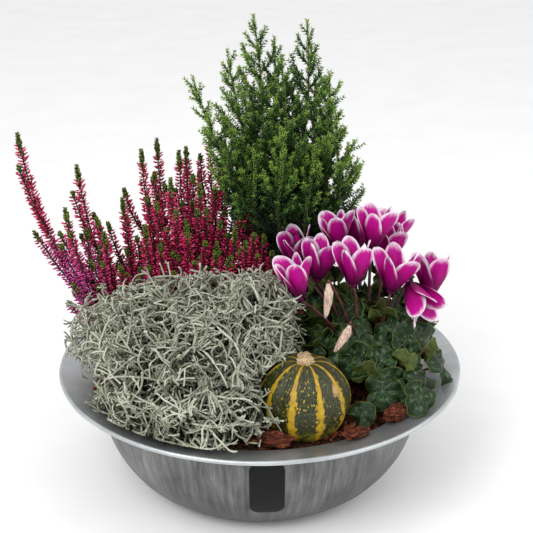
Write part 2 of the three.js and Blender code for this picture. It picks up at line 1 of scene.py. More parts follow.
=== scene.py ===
"""A round zinc bowl planted for autumn, as it looks.

Heather, a dwarf conifer, a silver cushion bush and a cyclamen stand in it, with a striped gourd at the front.
Lengths are in millimetres until a piece is made.
"""

import math

import bmesh
import bpy
import numpy as np
from bmesh import ops
from mathutils import Matrix, Vector, noise


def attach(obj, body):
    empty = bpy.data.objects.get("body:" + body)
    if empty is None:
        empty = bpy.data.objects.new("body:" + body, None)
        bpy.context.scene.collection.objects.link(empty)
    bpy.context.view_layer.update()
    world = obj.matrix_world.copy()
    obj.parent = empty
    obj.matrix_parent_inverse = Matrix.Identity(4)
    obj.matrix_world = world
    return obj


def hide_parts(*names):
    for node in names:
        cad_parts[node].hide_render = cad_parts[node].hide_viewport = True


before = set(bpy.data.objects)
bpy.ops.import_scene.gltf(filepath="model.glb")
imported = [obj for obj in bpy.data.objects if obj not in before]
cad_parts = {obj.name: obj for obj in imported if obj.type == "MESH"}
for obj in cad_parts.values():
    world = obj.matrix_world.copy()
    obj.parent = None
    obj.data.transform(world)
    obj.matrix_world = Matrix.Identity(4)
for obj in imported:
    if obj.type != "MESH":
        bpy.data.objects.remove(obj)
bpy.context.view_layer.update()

MM = 0.001
GOLDEN_ANGLE = math.pi * (3 - math.sqrt(5))
chance = np.random.default_rng(5)

# ---------- Sizes ----------
RIM_RADIUS = 200
BOWL_HEIGHT = 122
FOOT_RADIUS = 95
NECK_RADIUS = 164  # where the wall turns out into the rim
NECK_HEIGHT = 110
ZINC = 1.6  # thickness of the sheet
LIP_RADIUS = 2.2  # of the rolled edge
GAP = 0.4  # between neighbouring pieces

PLATE_SIZE = (32, 62)
PLATE_MIDDLE = (7, 67)
PLATE_CORNER = 9
PLATE_THICKNESS = 0.8

SOIL_EDGE = 108
SOIL_CROWN = 116  # the soil is heaped towards the middle
FLAKE_SHAPES = 5
FLAKES_EACH = 130

GOURD_CENTRE = np.array([41, -123, 142])
GOURD_RADIUS = 41
GOURD_HEIGHT = 79
GOURD_RIBS = 10
RIB_DEPTH = 0.05  # as a share of the radius
DIMPLE_DEPTH = 5  # at the gourd's top and bottom

BUD_STEP = 3.1  # between two rows of heather buds
GREEN_STEP = 2.2  # between two rows of leaves in a spike's green end
GREEN_END = 17
LOW_GREEN_END = 9

CONIFER_ROOT = (24, 76)
CONIFER_FORK = 160  # the height where the leading shoots part
NEEDLE_STEP = 2.5
SKIRT_SPRAYS = 90

BUSH_CENTRE = np.array([-76, -84, 149])
BUSH_CORE = np.array([58, 52, 25])
BUSH_LIMIT = 192  # no wire reaches further from the bowl's axis
BUSH_FLOOR = 119
BUSH_TWIGS = 1900  # in each of two pieces
TWIG_KNOBS = 1300
LOOSE_ENDS = 1100

CORM_CENTRE = np.array([104, -28, 112])
CORM_RADIUS = 19
STALK_RADIUS = 1.4
MOUTH_RADIUS = 4.6  # of a bloom, where its petals start
PETALS = 5
PETAL_LENGTH = 40
PETAL_HALF_WIDTH = 9.2
PETAL_SPREAD = 17  # from a bloom's axis to its petals' tips

CAMERA_SPOT = (0.0064, -0.995, 0.620)  # in metres
CAMERA_TILT = 21.95  # degrees below level
CAMERA_LENS = 74.3
SENSOR_WIDTH = 36
LIGHT_TARGET = (0, 0, 0.15)

# Each heather sprig: its tip, where its stem stands in the soil, and how many side spikes it has.
HEATHER_SPRIGS = [
    ((-230, 20, 346), (-122, 30), 5), ((-178, 32, 311), (-108, 46), 7), ((-186, 0, 278), (-116, 8), 8),
    ((-118, 62, 318), (-90, 64), 6), ((-106, 98, 319), (-80, 94), 6), ((-136, 36, 276), (-98, 36), 7),
    ((-82, 76, 313), (-66, 74), 7), ((-88, 40, 295), (-76, 46), 7), ((-60, 50, 286), (-54, 54), 7),
    ((-52, 104, 329), (-44, 92), 7), ((-78, 122, 304), (-66, 112), 5), ((-25, 34, 246), (-34, 38), 6),
    ((-152, 10, 250), (-106, 20), 7), ((-112, 14, 256), (-90, 20), 6), ((-72, 16, 260), (-68, 26), 6),
    ((-42, 8, 240), (-48, 16), 6),
]
# Lower sprigs that fill the heather between them, in the same terms.
LOW_SPRIGS = [
    ((-11, 55, 258), (-26, 58), 6), ((4, 34, 238), (-18, 40), 6), ((12, 20, 226), (-12, 28), 5),
    ((-14, 16, 238), (-30, 22), 6), ((-6, 28, 242), (-26, 36), 6), ((-20, 46, 254), (-30, 50), 6),
    ((-43, 2, 232), (-44, 12), 6), ((-31, -8, 228), (-36, 4), 3), ((-54, 45, 262), (-52, 42), 6),
    ((-70, 12, 248), (-66, 18), 4), ((-97, 6, 238), (-84, 12), 4), ((-40, 108, 276), (-42, 96), 4),
    ((-46, 70, 276), (-46, 66), 6), ((-82, 22, 268), (-74, 24), 4), ((-159, 20, 222), (-112, 20), 4),
    ((-160, 4, 198), (-112, 2), 4), ((-176, 12, 192), (-118, 14), 4), ((-137, 5, 216), (-104, 6), 4),
]
# Each of the conifer's leading shoots: its middle and its tip.
CONIFER_LEADERS = [
    ((10, 72, 290), (-6, 75, 448)), ((42, 84, 300), (46, 82, 442)), ((-10, 90, 280), (-32, 88, 412)),
    ((-18, 58, 260), (-65, 60, 392)), ((62, 62, 260), (67, 62, 396)), ((68, 90, 230), (99, 78, 304)),
    ((22, 32, 250), (20, 26, 350)), ((16, 88, 290), (14, 92, 424)), ((24, 60, 290), (21, 60, 412)),
    ((70, 56, 240), (74, 60, 358)), ((-18, 76, 250), (-36, 78, 352)), ((44, 34, 230), (52, 34, 330)),
    ((2, 46, 240), (-6, 44, 322)), ((50, 112, 260), (56, 118, 380)), ((0, 116, 250), (-8, 122, 366)),
    ((70, 76, 210), (76, 80, 262)), ((28, 50, 190), (24, 46, 262)), ((-14, 68, 230), (-28, 66, 300)),
]
# Each bloom: its foot, the way its petals point, and its turn.
BLOOMS = [
    ((38, -58, 211), (-0.24, 0.05, 1), -8), ((55, -20, 214), (0.09, 0.02, 1), 13),
    ((78, 21, 227), (-0.13, 0.04, 1), 58), ((98, 59, 215), (0.04, 0.14, 1), 26),
    ((129, 51, 216), (0.21, -0.09, 1), 52), ((88, -46, 220), (-0.04, 0.01, 1), 24),
    ((123, 11, 217), (0.08, -0.08, 1), 24), ((124, -39, 210), (0.14, -0.06, 1), 21),
    ((167, 2, 187), (0.06, 0.18, 1), 12), ((142, -30, 213), (0.5, -0.9, -0.5), 47),
    ((38, 28, 209), (-0.08, -0.18, 1), 24), ((106, -16, 244), (0.13, 0.03, 1), 37),
]
# Each spent flower: where it hangs, and its tip.
SPENT_FLOWERS = [((63, -62, 227), (61, -66, 194)), ((83, -78, 192), (69, -84, 168))]
# Each leaf: its place, its half width and how often it is moved on to stand clear of the others.
LEAVES = [
    ((62, -20, 150), 19, 0), ((84, 12, 160), 19, 11), ((126, 8, 164), 19, 19), ((76, -56, 148), 20, 6),
    ((112, -72, 154), 20, 0), ((150, -24, 154), 20, 7), ((154, 22, 142), 18, 0), ((112, -104, 138), 18, 0),
    ((146, -74, 140), 20, 0), ((176, -50, 136), 18, 3), ((92, -128, 127), 12, 0),
    ((146, -106, 130), 16, 34), ((58, 22, 142), 18, 12),
]
# How many small leaves fill the plant between them, and how far out and up they stand.
SMALL_LEAVES = 130
LEAF_DOME = (88, 184)
# Each rounded part of the cushion bush: its centre, how far it reaches, and its number of stems.
BUSH_PARTS = [
    ((-70, -84, 146), (90, 92, 58), 360),
    ((-72, -46, 168), (74, 44, 48), 170),
    ((-124, -34, 154), (54, 46, 36), 90),
    ((-62, -136, 134), (74, 52, 30), 130),
    ((-3, -52, 182), (30, 34, 38), 90),
    ((0, -84, 156), (32, 36, 36), 60),
]
# Each large piece of bark: its middle, its half sizes and its turn in degrees.
BARK_PIECES = [
    ((14, -157, 119), (15, 8, 7), -6),
    ((124, -117, 123), (14, 8, 7), 45),
    ((86, -150, 121), (11, 6, 5), 30),
    ((-150, -60, 121), (14, 8, 7), 68),
]
# Each light: its name, its place and its width in metres, and its watts.
LIGHTS = [("key", (-0.9, -1.3, 1.7), 1.1, 26), ("fill", (1.5, -0.6, 1.1), 1.2, 9)]


# ---------- Materials ----------
def colour(code):
    """Blender's linear colour from six sRGB digits."""
    parts = [int(code[k : k + 2], 16) / 255 for k in (0, 2, 4)]
    linear = [c / 12.92 if c <= 0.04045 else ((c + 0.055) / 1.055) ** 2.4 for c in parts]
    return (*linear, 1.0)


def operator(operation, turned=False):
    """A method of Wire that adds one Math node. Where it is turned, the wire comes second."""

    def method(wire, *other):
        return wire.finish.math(operation, *((*other, wire) if turned else (wire, *other)))

    return method


class Wire:
    """A socket of a material. Python's operators on it add Math nodes."""

    def __init__(self, finish, socket):
        self.finish = finish
        self.socket = socket

    __add__ = __radd__ = operator("ADD")
    __mul__ = __rmul__ = operator("MULTIPLY")
    __sub__ = operator("SUBTRACT")
    __rsub__ = operator("SUBTRACT", turned=True)
    __truediv__ = operator("DIVIDE")
    __pow__ = operator("POWER")
    __abs__ = operator("ABSOLUTE")
    larger = operator("MAXIMUM")

    def between(self, low, high):
        """0 below low, 1 above high and smooth between them. With high under low it falls."""
        inputs = {"Value": self, "From Min": low, "From Max": high}
        return self.finish.node("MapRange", {"interpolation_type": "SMOOTHSTEP"}, inputs)


class Finish:
    """A procedural material. Constants go on the shader's own sockets."""

    def __init__(self, name, **constants):
        self.material = bpy.data.materials.new(name)
        self.material.use_nodes = True
        self.tree = self.material.node_tree
        self.shader = self.tree.nodes["Principled BSDF"]
        for socket, value in constants.items():
            self.shader.inputs[socket.replace("_", " ")].default_value = value
        metres = self.node("TexCoord", output="Object")
        self.spot = self.node("VectorMath", {"operation": "SCALE"}, {0: metres, "Scale": 1 / MM})

    def node(self, kind, settings=None, inputs=None, output=0):
        """A new node: its settings come first, then the values or links of its sockets."""
        made = self.tree.nodes.new("ShaderNode" + kind)
        for name, value in (settings or {}).items():
            if name == "stops":
                self.set_stops(made.color_ramp.elements, value)
            else:
                setattr(made, name, value)
        for name, value in (inputs or {}).items():
            self.feed(made.inputs[name], value)
        return Wire(self, made.outputs[output])

    def set_stops(self, elements, stops):
        while len(elements) < len(stops):
            elements.new(1)
        for element, (position, code) in zip(elements, stops):
            element.position = position
            element.color = colour(code)

    def feed(self, socket, value):
        if isinstance(value, Wire):
            self.tree.links.new(value.socket, socket)
        else:
            socket.default_value = value

    def trait(self, name):
        """A number that the piece's points carry."""
        return self.node("Attribute", {"attribute_name": name}, output="Fac")

    def math(self, operation, *values):
        return self.node("Math", {"operation": operation}, dict(enumerate(values)))

    def axes(self):
        """How far a point lies along X, Y and Z, in millimetres."""
        parts = self.node("SeparateXYZ", inputs={0: self.spot})
        return [Wire(self, output) for output in parts.socket.node.outputs]

    def vector(self, x, y, z):
        return self.node("CombineXYZ", inputs={0: x, 1: y, 2: z})

    def noise(self, size, detail=2, at=None, rough=0.55):
        """Cloudy noise round 0.5 whose patches are about size wide."""
        inputs = {"Vector": at or self.spot, "Scale": 1 / size, "Detail": detail, "Roughness": rough}
        return self.node("TexNoise", inputs=inputs)

    def cells(self, size, at=None):
        """The distance from the nearest of scattered points, as a share of size."""
        return self.node("TexVoronoi", inputs={"Vector": at or self.spot, "Scale": 1 / size})

    def ramp(self, value, *stops):
        return self.node("ValToRGB", {"stops": stops}, {"Fac": value})

    def mix(self, under, over, share):
        """One colour over another. A colour is six digits or a wire."""
        under, over = (c if isinstance(c, Wire) else colour(c) for c in (under, over))
        return self.node("Mix", {"data_type": "RGBA"}, {0: share, 6: under, 7: over}, output=2)

    def bump(self, height, depth):
        inputs = {"Height": height, "Distance": depth * MM, "Strength": 1}
        return self.node("Bump", inputs=inputs, output="Normal")

    def surface(self, base, normal=None, **channels):
        """Feeds the shader's sockets, which are named as its own are, with _ for a space."""
        channels["Base_Color"] = base
        if normal:
            channels["Normal"] = normal
        for socket, value in channels.items():
            self.feed(self.shader.inputs[socket.replace("_", " ")], value)
        return self


def zinc_finish():
    """Galvanised sheet: upright streaks and fine scratches on the wall, and a paler, plainer rim. The wall's
    dark tones are partly painted reflection of dark surroundings. It darkens towards the foot as painted
    shade, with a painted shadow at the very foot.
    """
    f = Finish("brushed_zinc")
    x, y, z = f.axes()
    girth = (x * x + y * y) ** 0.5
    around = f.vector(x / girth * 100, y / girth * 100, z * 0.08)
    streaks = f.noise(9, 4, around, 0.62)
    fine = f.noise(2.2, 3, around, 0.6)
    blotches = f.noise(38, 4)
    grain = f.noise(1.1, 2)
    specks = f.cells(6.5).between(0.16, 0.06) * f.noise(30, 1).between(0.5, 0.62)
    wall = z.between(112, 106)
    tone = streaks * 0.4 + fine * 0.35 + blotches * 0.25
    # The streaks are real; their dark tones are partly painted reflection of dark surroundings.
    streaked = f.ramp(tone, (0.34, "4a4b4b"), (0.46, "666766"), (0.55, "7d7e7c"), (0.68, "a0a1a0"))
    mottled = f.ramp(blotches * 0.6 + grain * 0.4, (0.3, "a2a7a9"), (0.55, "bfc3c5"), (0.75, "d3d6d7"))
    base = f.mix(mottled, streaked, wall)
    # Painted shade: the wall darkens towards the foot.
    base = f.mix(base, "3c3d3d", z.between(60, 0) * wall * 0.55)
    base = f.mix(base, "565c60", specks * 0.5)
    # Painted shadow where the foot meets the floor.
    base = f.mix(base, "2c2e30", z.between(5, 0.5) * 0.8)
    rough = tone * 0.5 + grain * 0.1 + 0.16
    relief = fine * 0.3 + grain * 0.15 + blotches * 0.8 - specks * 0.5
    return f.surface(base, f.bump(relief, 0.5), Roughness=rough, Metallic=0.92 - specks * 0.3)


def black_plate_finish():
    f = Finish("black_satin", Specular_IOR_Level=0.18)
    cloud = f.noise(9, 3)
    base = f.ramp(cloud, (0.35, "08090a"), (0.7, "101113"))
    return f.surface(base, f.bump(f.noise(0.8, 2), 0.05), Roughness=cloud * 0.25 + 0.4)


def soil_finish():
    f = Finish("damp_soil", Roughness=0.95, Specular_IOR_Level=0.2)
    crumbs = f.cells(4.5) * 0.6 + f.noise(3, 4) * 0.6
    base = f.ramp(crumbs, (0.25, "0e0806"), (0.5, "26150e"), (0.75, "4a2a1b"))
    return f.surface(base, f.bump(crumbs, 2.2))


def bark_finish():
    """Red-brown fibres that run along each chip."""
    f = Finish("torn_bark", Roughness=0.88, Specular_IOR_Level=0.25)
    x, y, z = f.axes()
    fibres = f.noise(2.6, 4, f.vector(x * 0.35 + y * 0.2, y, z * 1.7), 0.7)
    clods = f.noise(9, 3)
    shade = fibres * 0.7 + clods * 0.3 + f.trait("luck") * 0.12
    base = f.ramp(shade, (0.36, "1c0d08"), (0.49, "4c2316"), (0.6, "85452b"), (0.74, "bd7c56"))
    return f.surface(base, f.bump(fibres, 1.8))


def gourd_finish():
    """Dark green skin with ragged golden stripes down the ribs, speckled between them, and one small scar."""
    f = Finish("striped_gourd", Specular_IOR_Level=0.4)
    x, y, z = f.axes()
    x = x - float(GOURD_CENTRE[0])
    y = y - float(GOURD_CENTRE[1])
    angle = f.math("ARCTAN2", y, x)
    height = (z - float(GOURD_CENTRE[2])) / (GOURD_HEIGHT / 2)
    lengthwise = f.vector(angle * GOURD_RADIUS, height * 22, 0)
    ragged = f.noise(3.4, 4, lengthwise, 0.7) - 0.5
    sweep = f.noise(20, 1, lengthwise) - 0.5
    rib = f.math("COSINE", angle * GOURD_RIBS + sweep * 1.8)
    broad = f.noise(17, 0, f.vector(angle * GOURD_RADIUS, 0, 0)).between(0.4, 0.62)
    lower = height.between(0.75, 0.1)
    reach = lower * (broad * 0.3 + 0.12) + 0.1
    gold_share = (rib + reach + ragged * (lower * 2.4 + 0.8) - 0.95).between(-0.06, 0.06)
    dots = f.cells(3.1, f.vector(angle * GOURD_RADIUS, height * 30, 0)) + ragged * 0.3
    dots = dots - rib.between(-0.4, 0.9) * 0.1
    specks = dots.between(0.27, 0.14) * f.noise(14, 1, lengthwise).between(0.4, 0.54)
    flecks = f.noise(1.5, 4, lengthwise, 0.7)
    skin = f.ramp(flecks, (0.36, "131608"), (0.52, "272a10"), (0.66, "575c24"), (0.8, "928d3e"))
    under = height.between(-0.25, -0.7) * y.between(-6, -26) * f.noise(7, 4, rough=0.7).between(0.4, 0.56)
    skin = f.mix(skin, "968c1c", under * 0.8)
    gold = f.ramp(f.noise(6, 3), (0.3, "96740c"), (0.55, "ad8a12"), (0.8, "c2a430"))
    base = f.mix(skin, "b39a2c", specks * 0.85)
    base = f.mix(base, gold, gold_share)
    aside, ahead, up = x - 25, y + 24, height * 20 - 10
    scar = (aside * aside + ahead * ahead + up * up) ** 0.5
    scar = (scar + ragged * 9).between(4.2, 2)
    base = f.mix(base, "b08d62", scar * 0.9)
    relief = gold_share * 0.3 + flecks * 0.3 + f.noise(5, 2) * 0.5 + scar * 0.4
    return f.surface(base, f.bump(relief, 0.6), Roughness=flecks * 0.2 + 0.36 + scar * 0.2)


def straw_finish():
    f = Finish("dry_stem", Roughness=0.85)
    x, y, z = f.axes()
    fibres = f.noise(1.6, 4, f.vector(x, y, z * 0.25), 0.65)
    base = f.ramp(fibres, (0.3, "7a5a3c"), (0.5, "b59a74"), (0.72, "dccaa8"))
    return f.surface(base, f.bump(fibres, 0.8))


def conifer_finish():
    """Bright soft tips on deeper green that darkens towards the ground."""
    f = Finish("conifer_green", Roughness=0.6, Specular_IOR_Level=0.3)
    z = f.axes()[2]
    fresh = f.trait("fresh") + (f.trait("luck") - 0.5) * 0.3 + (f.noise(26, 2) - 0.5) * 0.5
    fresh = fresh - z.between(315, 215) * 0.42
    base = f.ramp(fresh, (0.02, "070d05"), (0.3, "1a3311"), (0.6, "3b6023"), (0.95, "7a993c"))
    base = f.mix(base, "4a3020", f.trait("wood"))
    return f.surface(base, f.bump(f.noise(0.9, 2), 0.15))


def heather_finish():
    """Crimson buds, lilac low on the left, with green shoot ends and brown stems."""
    f = Finish("heather_buds", Roughness=0.55, Specular_IOR_Level=0.3)
    x, _, z = f.axes()
    along, luck = f.trait("along"), f.trait("luck")
    shade = along * 0.55 + luck * 0.45 + (f.noise(30, 2) - 0.5) * 0.4
    bud = f.ramp(shade, (0.1, "560a20"), (0.38, "a0113f"), (0.68, "ca205e"), (0.98, "e46a9a"))
    lilac = f.ramp(shade, (0.05, "5e1244"), (0.4, "ab2c7e"), (0.7, "c650a0"), (0.98, "dd8cc6"))
    bud = f.mix(bud, lilac, x.between(-130, -185) * z.between(255, 200) * 0.85)
    leaf = f.ramp(along * 0.5 + luck * 0.6, (0.15, "181f09"), (0.55, "3a4916"), (1.0, "6e7e2c"))
    base = f.mix(bud, leaf, f.trait("leafy"))
    base = f.mix(base, "33221a", f.trait("wood"))
    return f.surface(base, f.bump(f.noise(0.8, 2), 0.15))


def cushion_bush_finish():
    """Silver wool on thin wires, with painted shade that makes them greener and darker deep inside."""
    f = Finish("silver_wool", Roughness=0.9, Specular_IOR_Level=0.15)
    felt = f.noise(1.3, 3, rough=0.65)
    # outer is 1 far out in the bush and 0 deep inside: painted shade darkens the inner wires.
    shade = felt * 0.4 + f.trait("outer") * 0.5 + f.trait("luck") * 0.3
    base = f.ramp(shade, (0.22, "15170f"), (0.48, "4b4e40"), (0.74, "868977"), (1.08, "c4c6b4"))
    return f.surface(base, f.bump(felt, 0.6))


def stalk_finish():
    f = Finish("red_brown_stalk", Roughness=0.5, Specular_IOR_Level=0.4)
    x, y, z = f.axes()
    cloud = f.noise(3, 3, f.vector(x, y, z * 0.2))
    # Painted shade: the stalks and the corm are darker low down, under the leaves.
    base = f.ramp(cloud + z.between(120, 210) * 0.2, (0.35, "1c0b0c"), (0.6, "3d1b1f"), (0.85, "613532"))
    return f.surface(base, f.bump(cloud, 0.3))


def petal_finish():
    """Magenta, deeper at the mouth, with white margins that bleed in from the tip."""
    f = Finish("cyclamen_petal", Roughness=0.55, Specular_IOR_Level=0.16, Subsurface_Weight=0.06)
    f.shader.inputs["Subsurface Scale"].default_value = 2 * MM
    along, across, luck = f.trait("along"), f.trait("across"), f.trait("luck")
    hair = f.noise(0.05, 3, f.vector(across, along * 0.16, luck * 7), 0.6) - 0.5
    cloud = f.noise(0.5, 2, f.vector(across, along * 1.6, luck * 7)) - 0.5
    side = (abs(across) + hair * 0.14 + cloud * 0.25).between(0.62, 0.9) * along.between(0.3, 0.6)
    tip = (along + hair * 0.3 + cloud * 0.3 + across * across * 0.12).between(0.7, 0.95)
    body = f.ramp(along + cloud * 0.5, (0.0, "3a0430"), (0.2, "76044f"), (0.45, "a80378"), (0.9, "b9128f"))
    base = f.mix(body, "ecdcea", side.larger(tip) * 0.92)
    relief = hair * 0.5 + cloud
    return f.surface(base, f.bump(relief, 0.5))


def spent_finish():
    f = Finish("withered_petal", Roughness=0.8)
    x, y, z = f.axes()
    crease = f.noise(1.5, 4, f.vector(x, y, z * 0.2), 0.6)
    base = f.ramp(crease, (0.3, "8d5f58"), (0.5, "cdb2a0"), (0.75, "e9dccb"))
    return f.surface(base, f.bump(crease, 1))


def leaf_finish():
    """Dark green marbled with silver round the veins, a yellow-green edge, and a paler underside."""
    f = Finish("marbled_leaf", Specular_IOR_Level=0.24)
    px, py = f.trait("leaf_x"), f.trait("leaf_y")
    under, luck = f.trait("under"), f.trait("luck")
    reach = (px * px + py * py) ** 0.5
    angle = f.math("ARCTAN2", py, px)
    spot = f.vector(px, py, luck * 9)
    cloud = f.noise(0.28, 4, spot, 0.6) - 0.5
    fan = f.math("SINE", angle * 4.5 + cloud * 1.6)
    veins = (abs(fan) * reach).between(0.1, 0.015) * reach.between(1.0, 0.4) * (cloud + 0.5).between(0.3, 0.6)
    side_veins = abs(f.math("SINE", reach * 26 - abs(fan) * 5))
    net = side_veins.between(0.25, 0.05) * reach.between(0.15, 0.4) * reach.between(0.98, 0.75)
    ragged = reach + cloud * 0.7
    zone = ragged.between(0.28, 0.5) * ragged.between(0.9, 0.68)
    green = f.ramp(cloud + 0.5, (0.3, "091406"), (0.5, "13280b"), (0.75, "27431a"))
    silver = f.ramp(cloud + 0.5, (0.35, "20391c"), (0.7, "617f58"))
    top = f.mix(green, silver, zone * (cloud + 0.5).between(0.46, 0.66) * 0.7)
    top = f.mix(top, "7d9677", (veins * 0.5).larger(net * 0.2))
    top = f.mix(top, "66782c", (reach + cloud * 0.05).between(0.955, 0.99) * 0.8)
    below = f.ramp(cloud + luck * 0.3 + 0.35, (0.3, "303c17"), (0.6, "505d28"), (0.9, "727d42"))
    below = f.mix(below, "8d6a58", veins * 0.35)
    base = f.mix(top, below, under)
    base = f.mix(base, "5a2a26", f.trait("stalk"))
    relief = cloud * 0.6 - veins * 0.6 - net * 0.25
    rough = under * 0.2 + cloud * 0.15 + 0.44
    return f.surface(base, f.bump(relief, 0.7), Roughness=rough)


def floor_finish():
    f = Finish("pale_floor", Roughness=0.8, Specular_IOR_Level=0.2)
    return f.surface(f.ramp(f.noise(120, 2), (0.3, "f2f2f2"), (0.7, "f6f6f6")))


# ---------- Small shapes and many copies of them ----------
class Shape:
    """A small closed mesh, kept as arrays so that a piece can hold many copies of it."""

    def __init__(self, bm):
        ops.recalc_face_normals(bm, faces=bm.faces)
        bm.verts.index_update()
        self.points = np.array([vert.co for vert in bm.verts])
        self.corners = np.array([vert.index for face in bm.faces for vert in face.verts])
        self.sizes = np.array([len(face.verts) for face in bm.faces])
        bm.free()


class Growth:
    """Collects copies of small shapes and the numbers that their points carry, for one piece."""

    def __init__(self):
        self.points, self.corners, self.sizes, self.traits = [], [], [], []
        self.count = 0

    def add(self, shape, points, **traits):
        """points is an array: copies, points of the shape, xyz. Traits are spread over the first two."""
        copies, each = points.shape[:2]
        starts = np.arange(copies)[:, None] * each + self.count
        self.points.append(points.reshape(-1, 3))
        self.corners.append((shape.corners + starts).ravel())
        self.sizes.append(np.tile(shape.sizes, copies))
        self.traits.append(
            {name: np.broadcast_to(value, (copies, each)).ravel() for name, value in traits.items()}
        )
        self.count += copies * each

    def scatter(self, shape, feet, ways, lengths, radii, **traits):
        """Adds copies of a shape that stand on their feet along their ways, each with its own luck."""
        luck = chance.random((len(feet), 1))
        self.add(shape, stood(shape, feet, ways, lengths, radii), luck=luck, **traits)

    def piece(self, name, finish, slot, *nodes):
        mesh = bpy.data.meshes.new(name)
        mesh.vertices.add(self.count)
        mesh.vertices.foreach_set("co", np.concatenate(self.points).ravel() * MM)
        corners, sizes = np.concatenate(self.corners), np.concatenate(self.sizes)
        mesh.loops.add(len(corners))
        mesh.loops.foreach_set("vertex_index", corners)
        mesh.polygons.add(len(sizes))
        mesh.polygons.foreach_set("loop_start", np.cumsum(sizes) - sizes)
        mesh.update(calc_edges=True)
        for trait in sorted({key for traits in self.traits for key in traits}):
            carried = mesh.attributes.new(trait, "FLOAT", "POINT")
            spread = [
                traits.get(trait, np.zeros(len(points))) for traits, points in zip(self.traits, self.points)
            ]
            carried.data.foreach_set("value", np.concatenate(spread))
        settle(mesh, finish, slot, *nodes)


def settle(mesh, finish, slot, *nodes):
    """Makes a mesh a piece of the scene: it rides on the planter and stands for its nodes."""
    mesh.shade_smooth()
    mesh.materials.append(finish.material)
    piece = in_scene(mesh.name, mesh)
    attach(piece, "root")
    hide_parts(*nodes)


def piece_of(bm, name, finish, slot, *nodes):
    """A piece from one mesh in millimetres."""
    ops.scale(bm, vec=(MM, MM, MM), verts=bm.verts)
    settle(mesh_of(bm, name), finish, slot, *nodes)


def mesh_of(bm, name):
    mesh = bpy.data.meshes.new(name)
    bm.to_mesh(mesh)
    bm.free()
    return mesh


def in_scene(name, data):
    """A new object that holds a mesh, a light or a camera."""
    made = bpy.data.objects.new(name, data)
    bpy.context.scene.collection.objects.link(made)
    return made


def fresh(create, **settings):
    """A mesh that holds one plain shape."""
    bm = bmesh.new()
    create(bm, **settings)
    return bm


def everything(bm):
    return bm.verts[:] + bm.edges[:] + bm.faces[:]


def rod(sides, rings):
    """A closed round bar of radius 1 that stands from 0 to 1, cut into rings."""
    bm = fresh(ops.create_cone, cap_ends=True, segments=sides, radius1=1, radius2=1, depth=1)
    ops.translate(bm, verts=bm.verts, vec=(0, 0, 0.5))
    for k in range(1, rings):
        ops.bisect_plane(bm, geom=everything(bm), plane_co=(0, 0, k / rings), plane_no=(0, 0, 1))
    return Shape(bm)


def bud_shape():
    """A long bud of length 1 and radius 1, fuller below its middle."""
    bm = fresh(ops.create_uvsphere, u_segments=4, v_segments=3, radius=1)
    ops.translate(bm, verts=bm.verts, vec=(0, 0, 1))
    ops.scale(bm, verts=bm.verts, vec=(1, 1, 0.5))
    for vert in bm.verts:
        vert.co.xy *= 1.15 - 0.5 * vert.co.z
    return Shape(bm)


def needle_shape():
    """A three-sided needle of length 1 and radius 1, widest below its middle."""
    bm = fresh(ops.create_uvsphere, u_segments=3, v_segments=2, radius=1)
    ops.translate(bm, verts=bm.verts, vec=(0, 0, 1))
    ops.scale(bm, verts=bm.verts, vec=(1, 1, 0.5))
    for vert in bm.verts:
        vert.co.z **= 1.5
    return Shape(bm)


def sheet_shape(columns, rows):
    """A sheet from 0 to 1 along X and from -1 to 1 along Y. Z is 1 on its face and 0 on its back."""
    bm = fresh(ops.create_grid, x_segments=columns, y_segments=rows, size=1)
    ops.translate(bm, verts=bm.verts, vec=(1, 0, 0))
    ops.scale(bm, verts=bm.verts, vec=(0.5, 1, 1))
    return thickened(bm)


def disc_shape(sides, rings):
    """A round sheet of radius 1 with a middle point. Z is 1 on its face and 0 on its back."""
    bm = bmesh.new()
    spokes = [bm.verts.new((k / rings, 0, 0)) for k in range(rings + 1)]
    edges = [bm.edges.new(pair) for pair in zip(spokes, spokes[1:])]
    ops.spin(bm, geom=spokes + edges, axis=(0, 0, 1), angle=math.tau, steps=sides, use_merge=True)
    ops.remove_doubles(bm, verts=bm.verts, dist=1e-4)
    ops.recalc_face_normals(bm, faces=bm.faces)
    return thickened(bm)


def thickened(bm):
    face_up = sum(face.normal.z for face in bm.faces) > 0
    ops.solidify(bm, geom=bm.faces[:], thickness=1 if face_up else -1)
    heights = [vert.co.z for vert in bm.verts]
    ops.translate(bm, verts=bm.verts, vec=(0, 0, -min(heights)))
    return Shape(bm)


# ---------- Curves ----------
def unit(vectors):
    vectors = np.asarray(vectors, float)
    return vectors / np.maximum(np.linalg.norm(vectors, axis=-1, keepdims=True), 1e-9)


def mix(low, high, share):
    return low + (high - low) * share


def level_way(turn):
    return np.array([math.cos(turn), math.sin(turn), 0])


def rising_path(foot, end, out, up, count=24):
    """A curve from the ground to its end, with its bend at a share of the way out and of the way up."""
    foot, end = np.array(foot, float), np.array(end, float)
    bend = np.array([*mix(foot[:2], end[:2], out), mix(foot[2], end[2], up)])
    return bent_path(foot, bend, end, count)


def bent_path(foot, bend, end, count=12):
    t = np.linspace(0, 1, count)[:, None]
    return (1 - t) ** 2 * foot + 2 * t * (1 - t) * bend + t * t * end


def along_path(path, step):
    """Points every step along a path, the way it runs at each, and each one's share of the way."""
    legs = np.linalg.norm(np.diff(path, axis=0), axis=1)
    run = np.concatenate([[0], np.cumsum(legs)])
    count = max(2, int(run[-1] / step) + 1)
    share = np.linspace(0, 1, count)
    spots = np.stack([np.interp(share * run[-1], run, path[:, k]) for k in range(3)], axis=1)
    return spots, unit(np.gradient(spots, axis=0)), share


def sideways(tangents):
    """Two directions square to each tangent."""
    tangents = unit(tangents)
    steep = np.abs(tangents[..., :1]) < 0.8
    across = unit(np.cross(tangents, np.where(steep, [1.0, 0, 0], [0, 1.0, 0])))
    return across, np.cross(tangents, across)


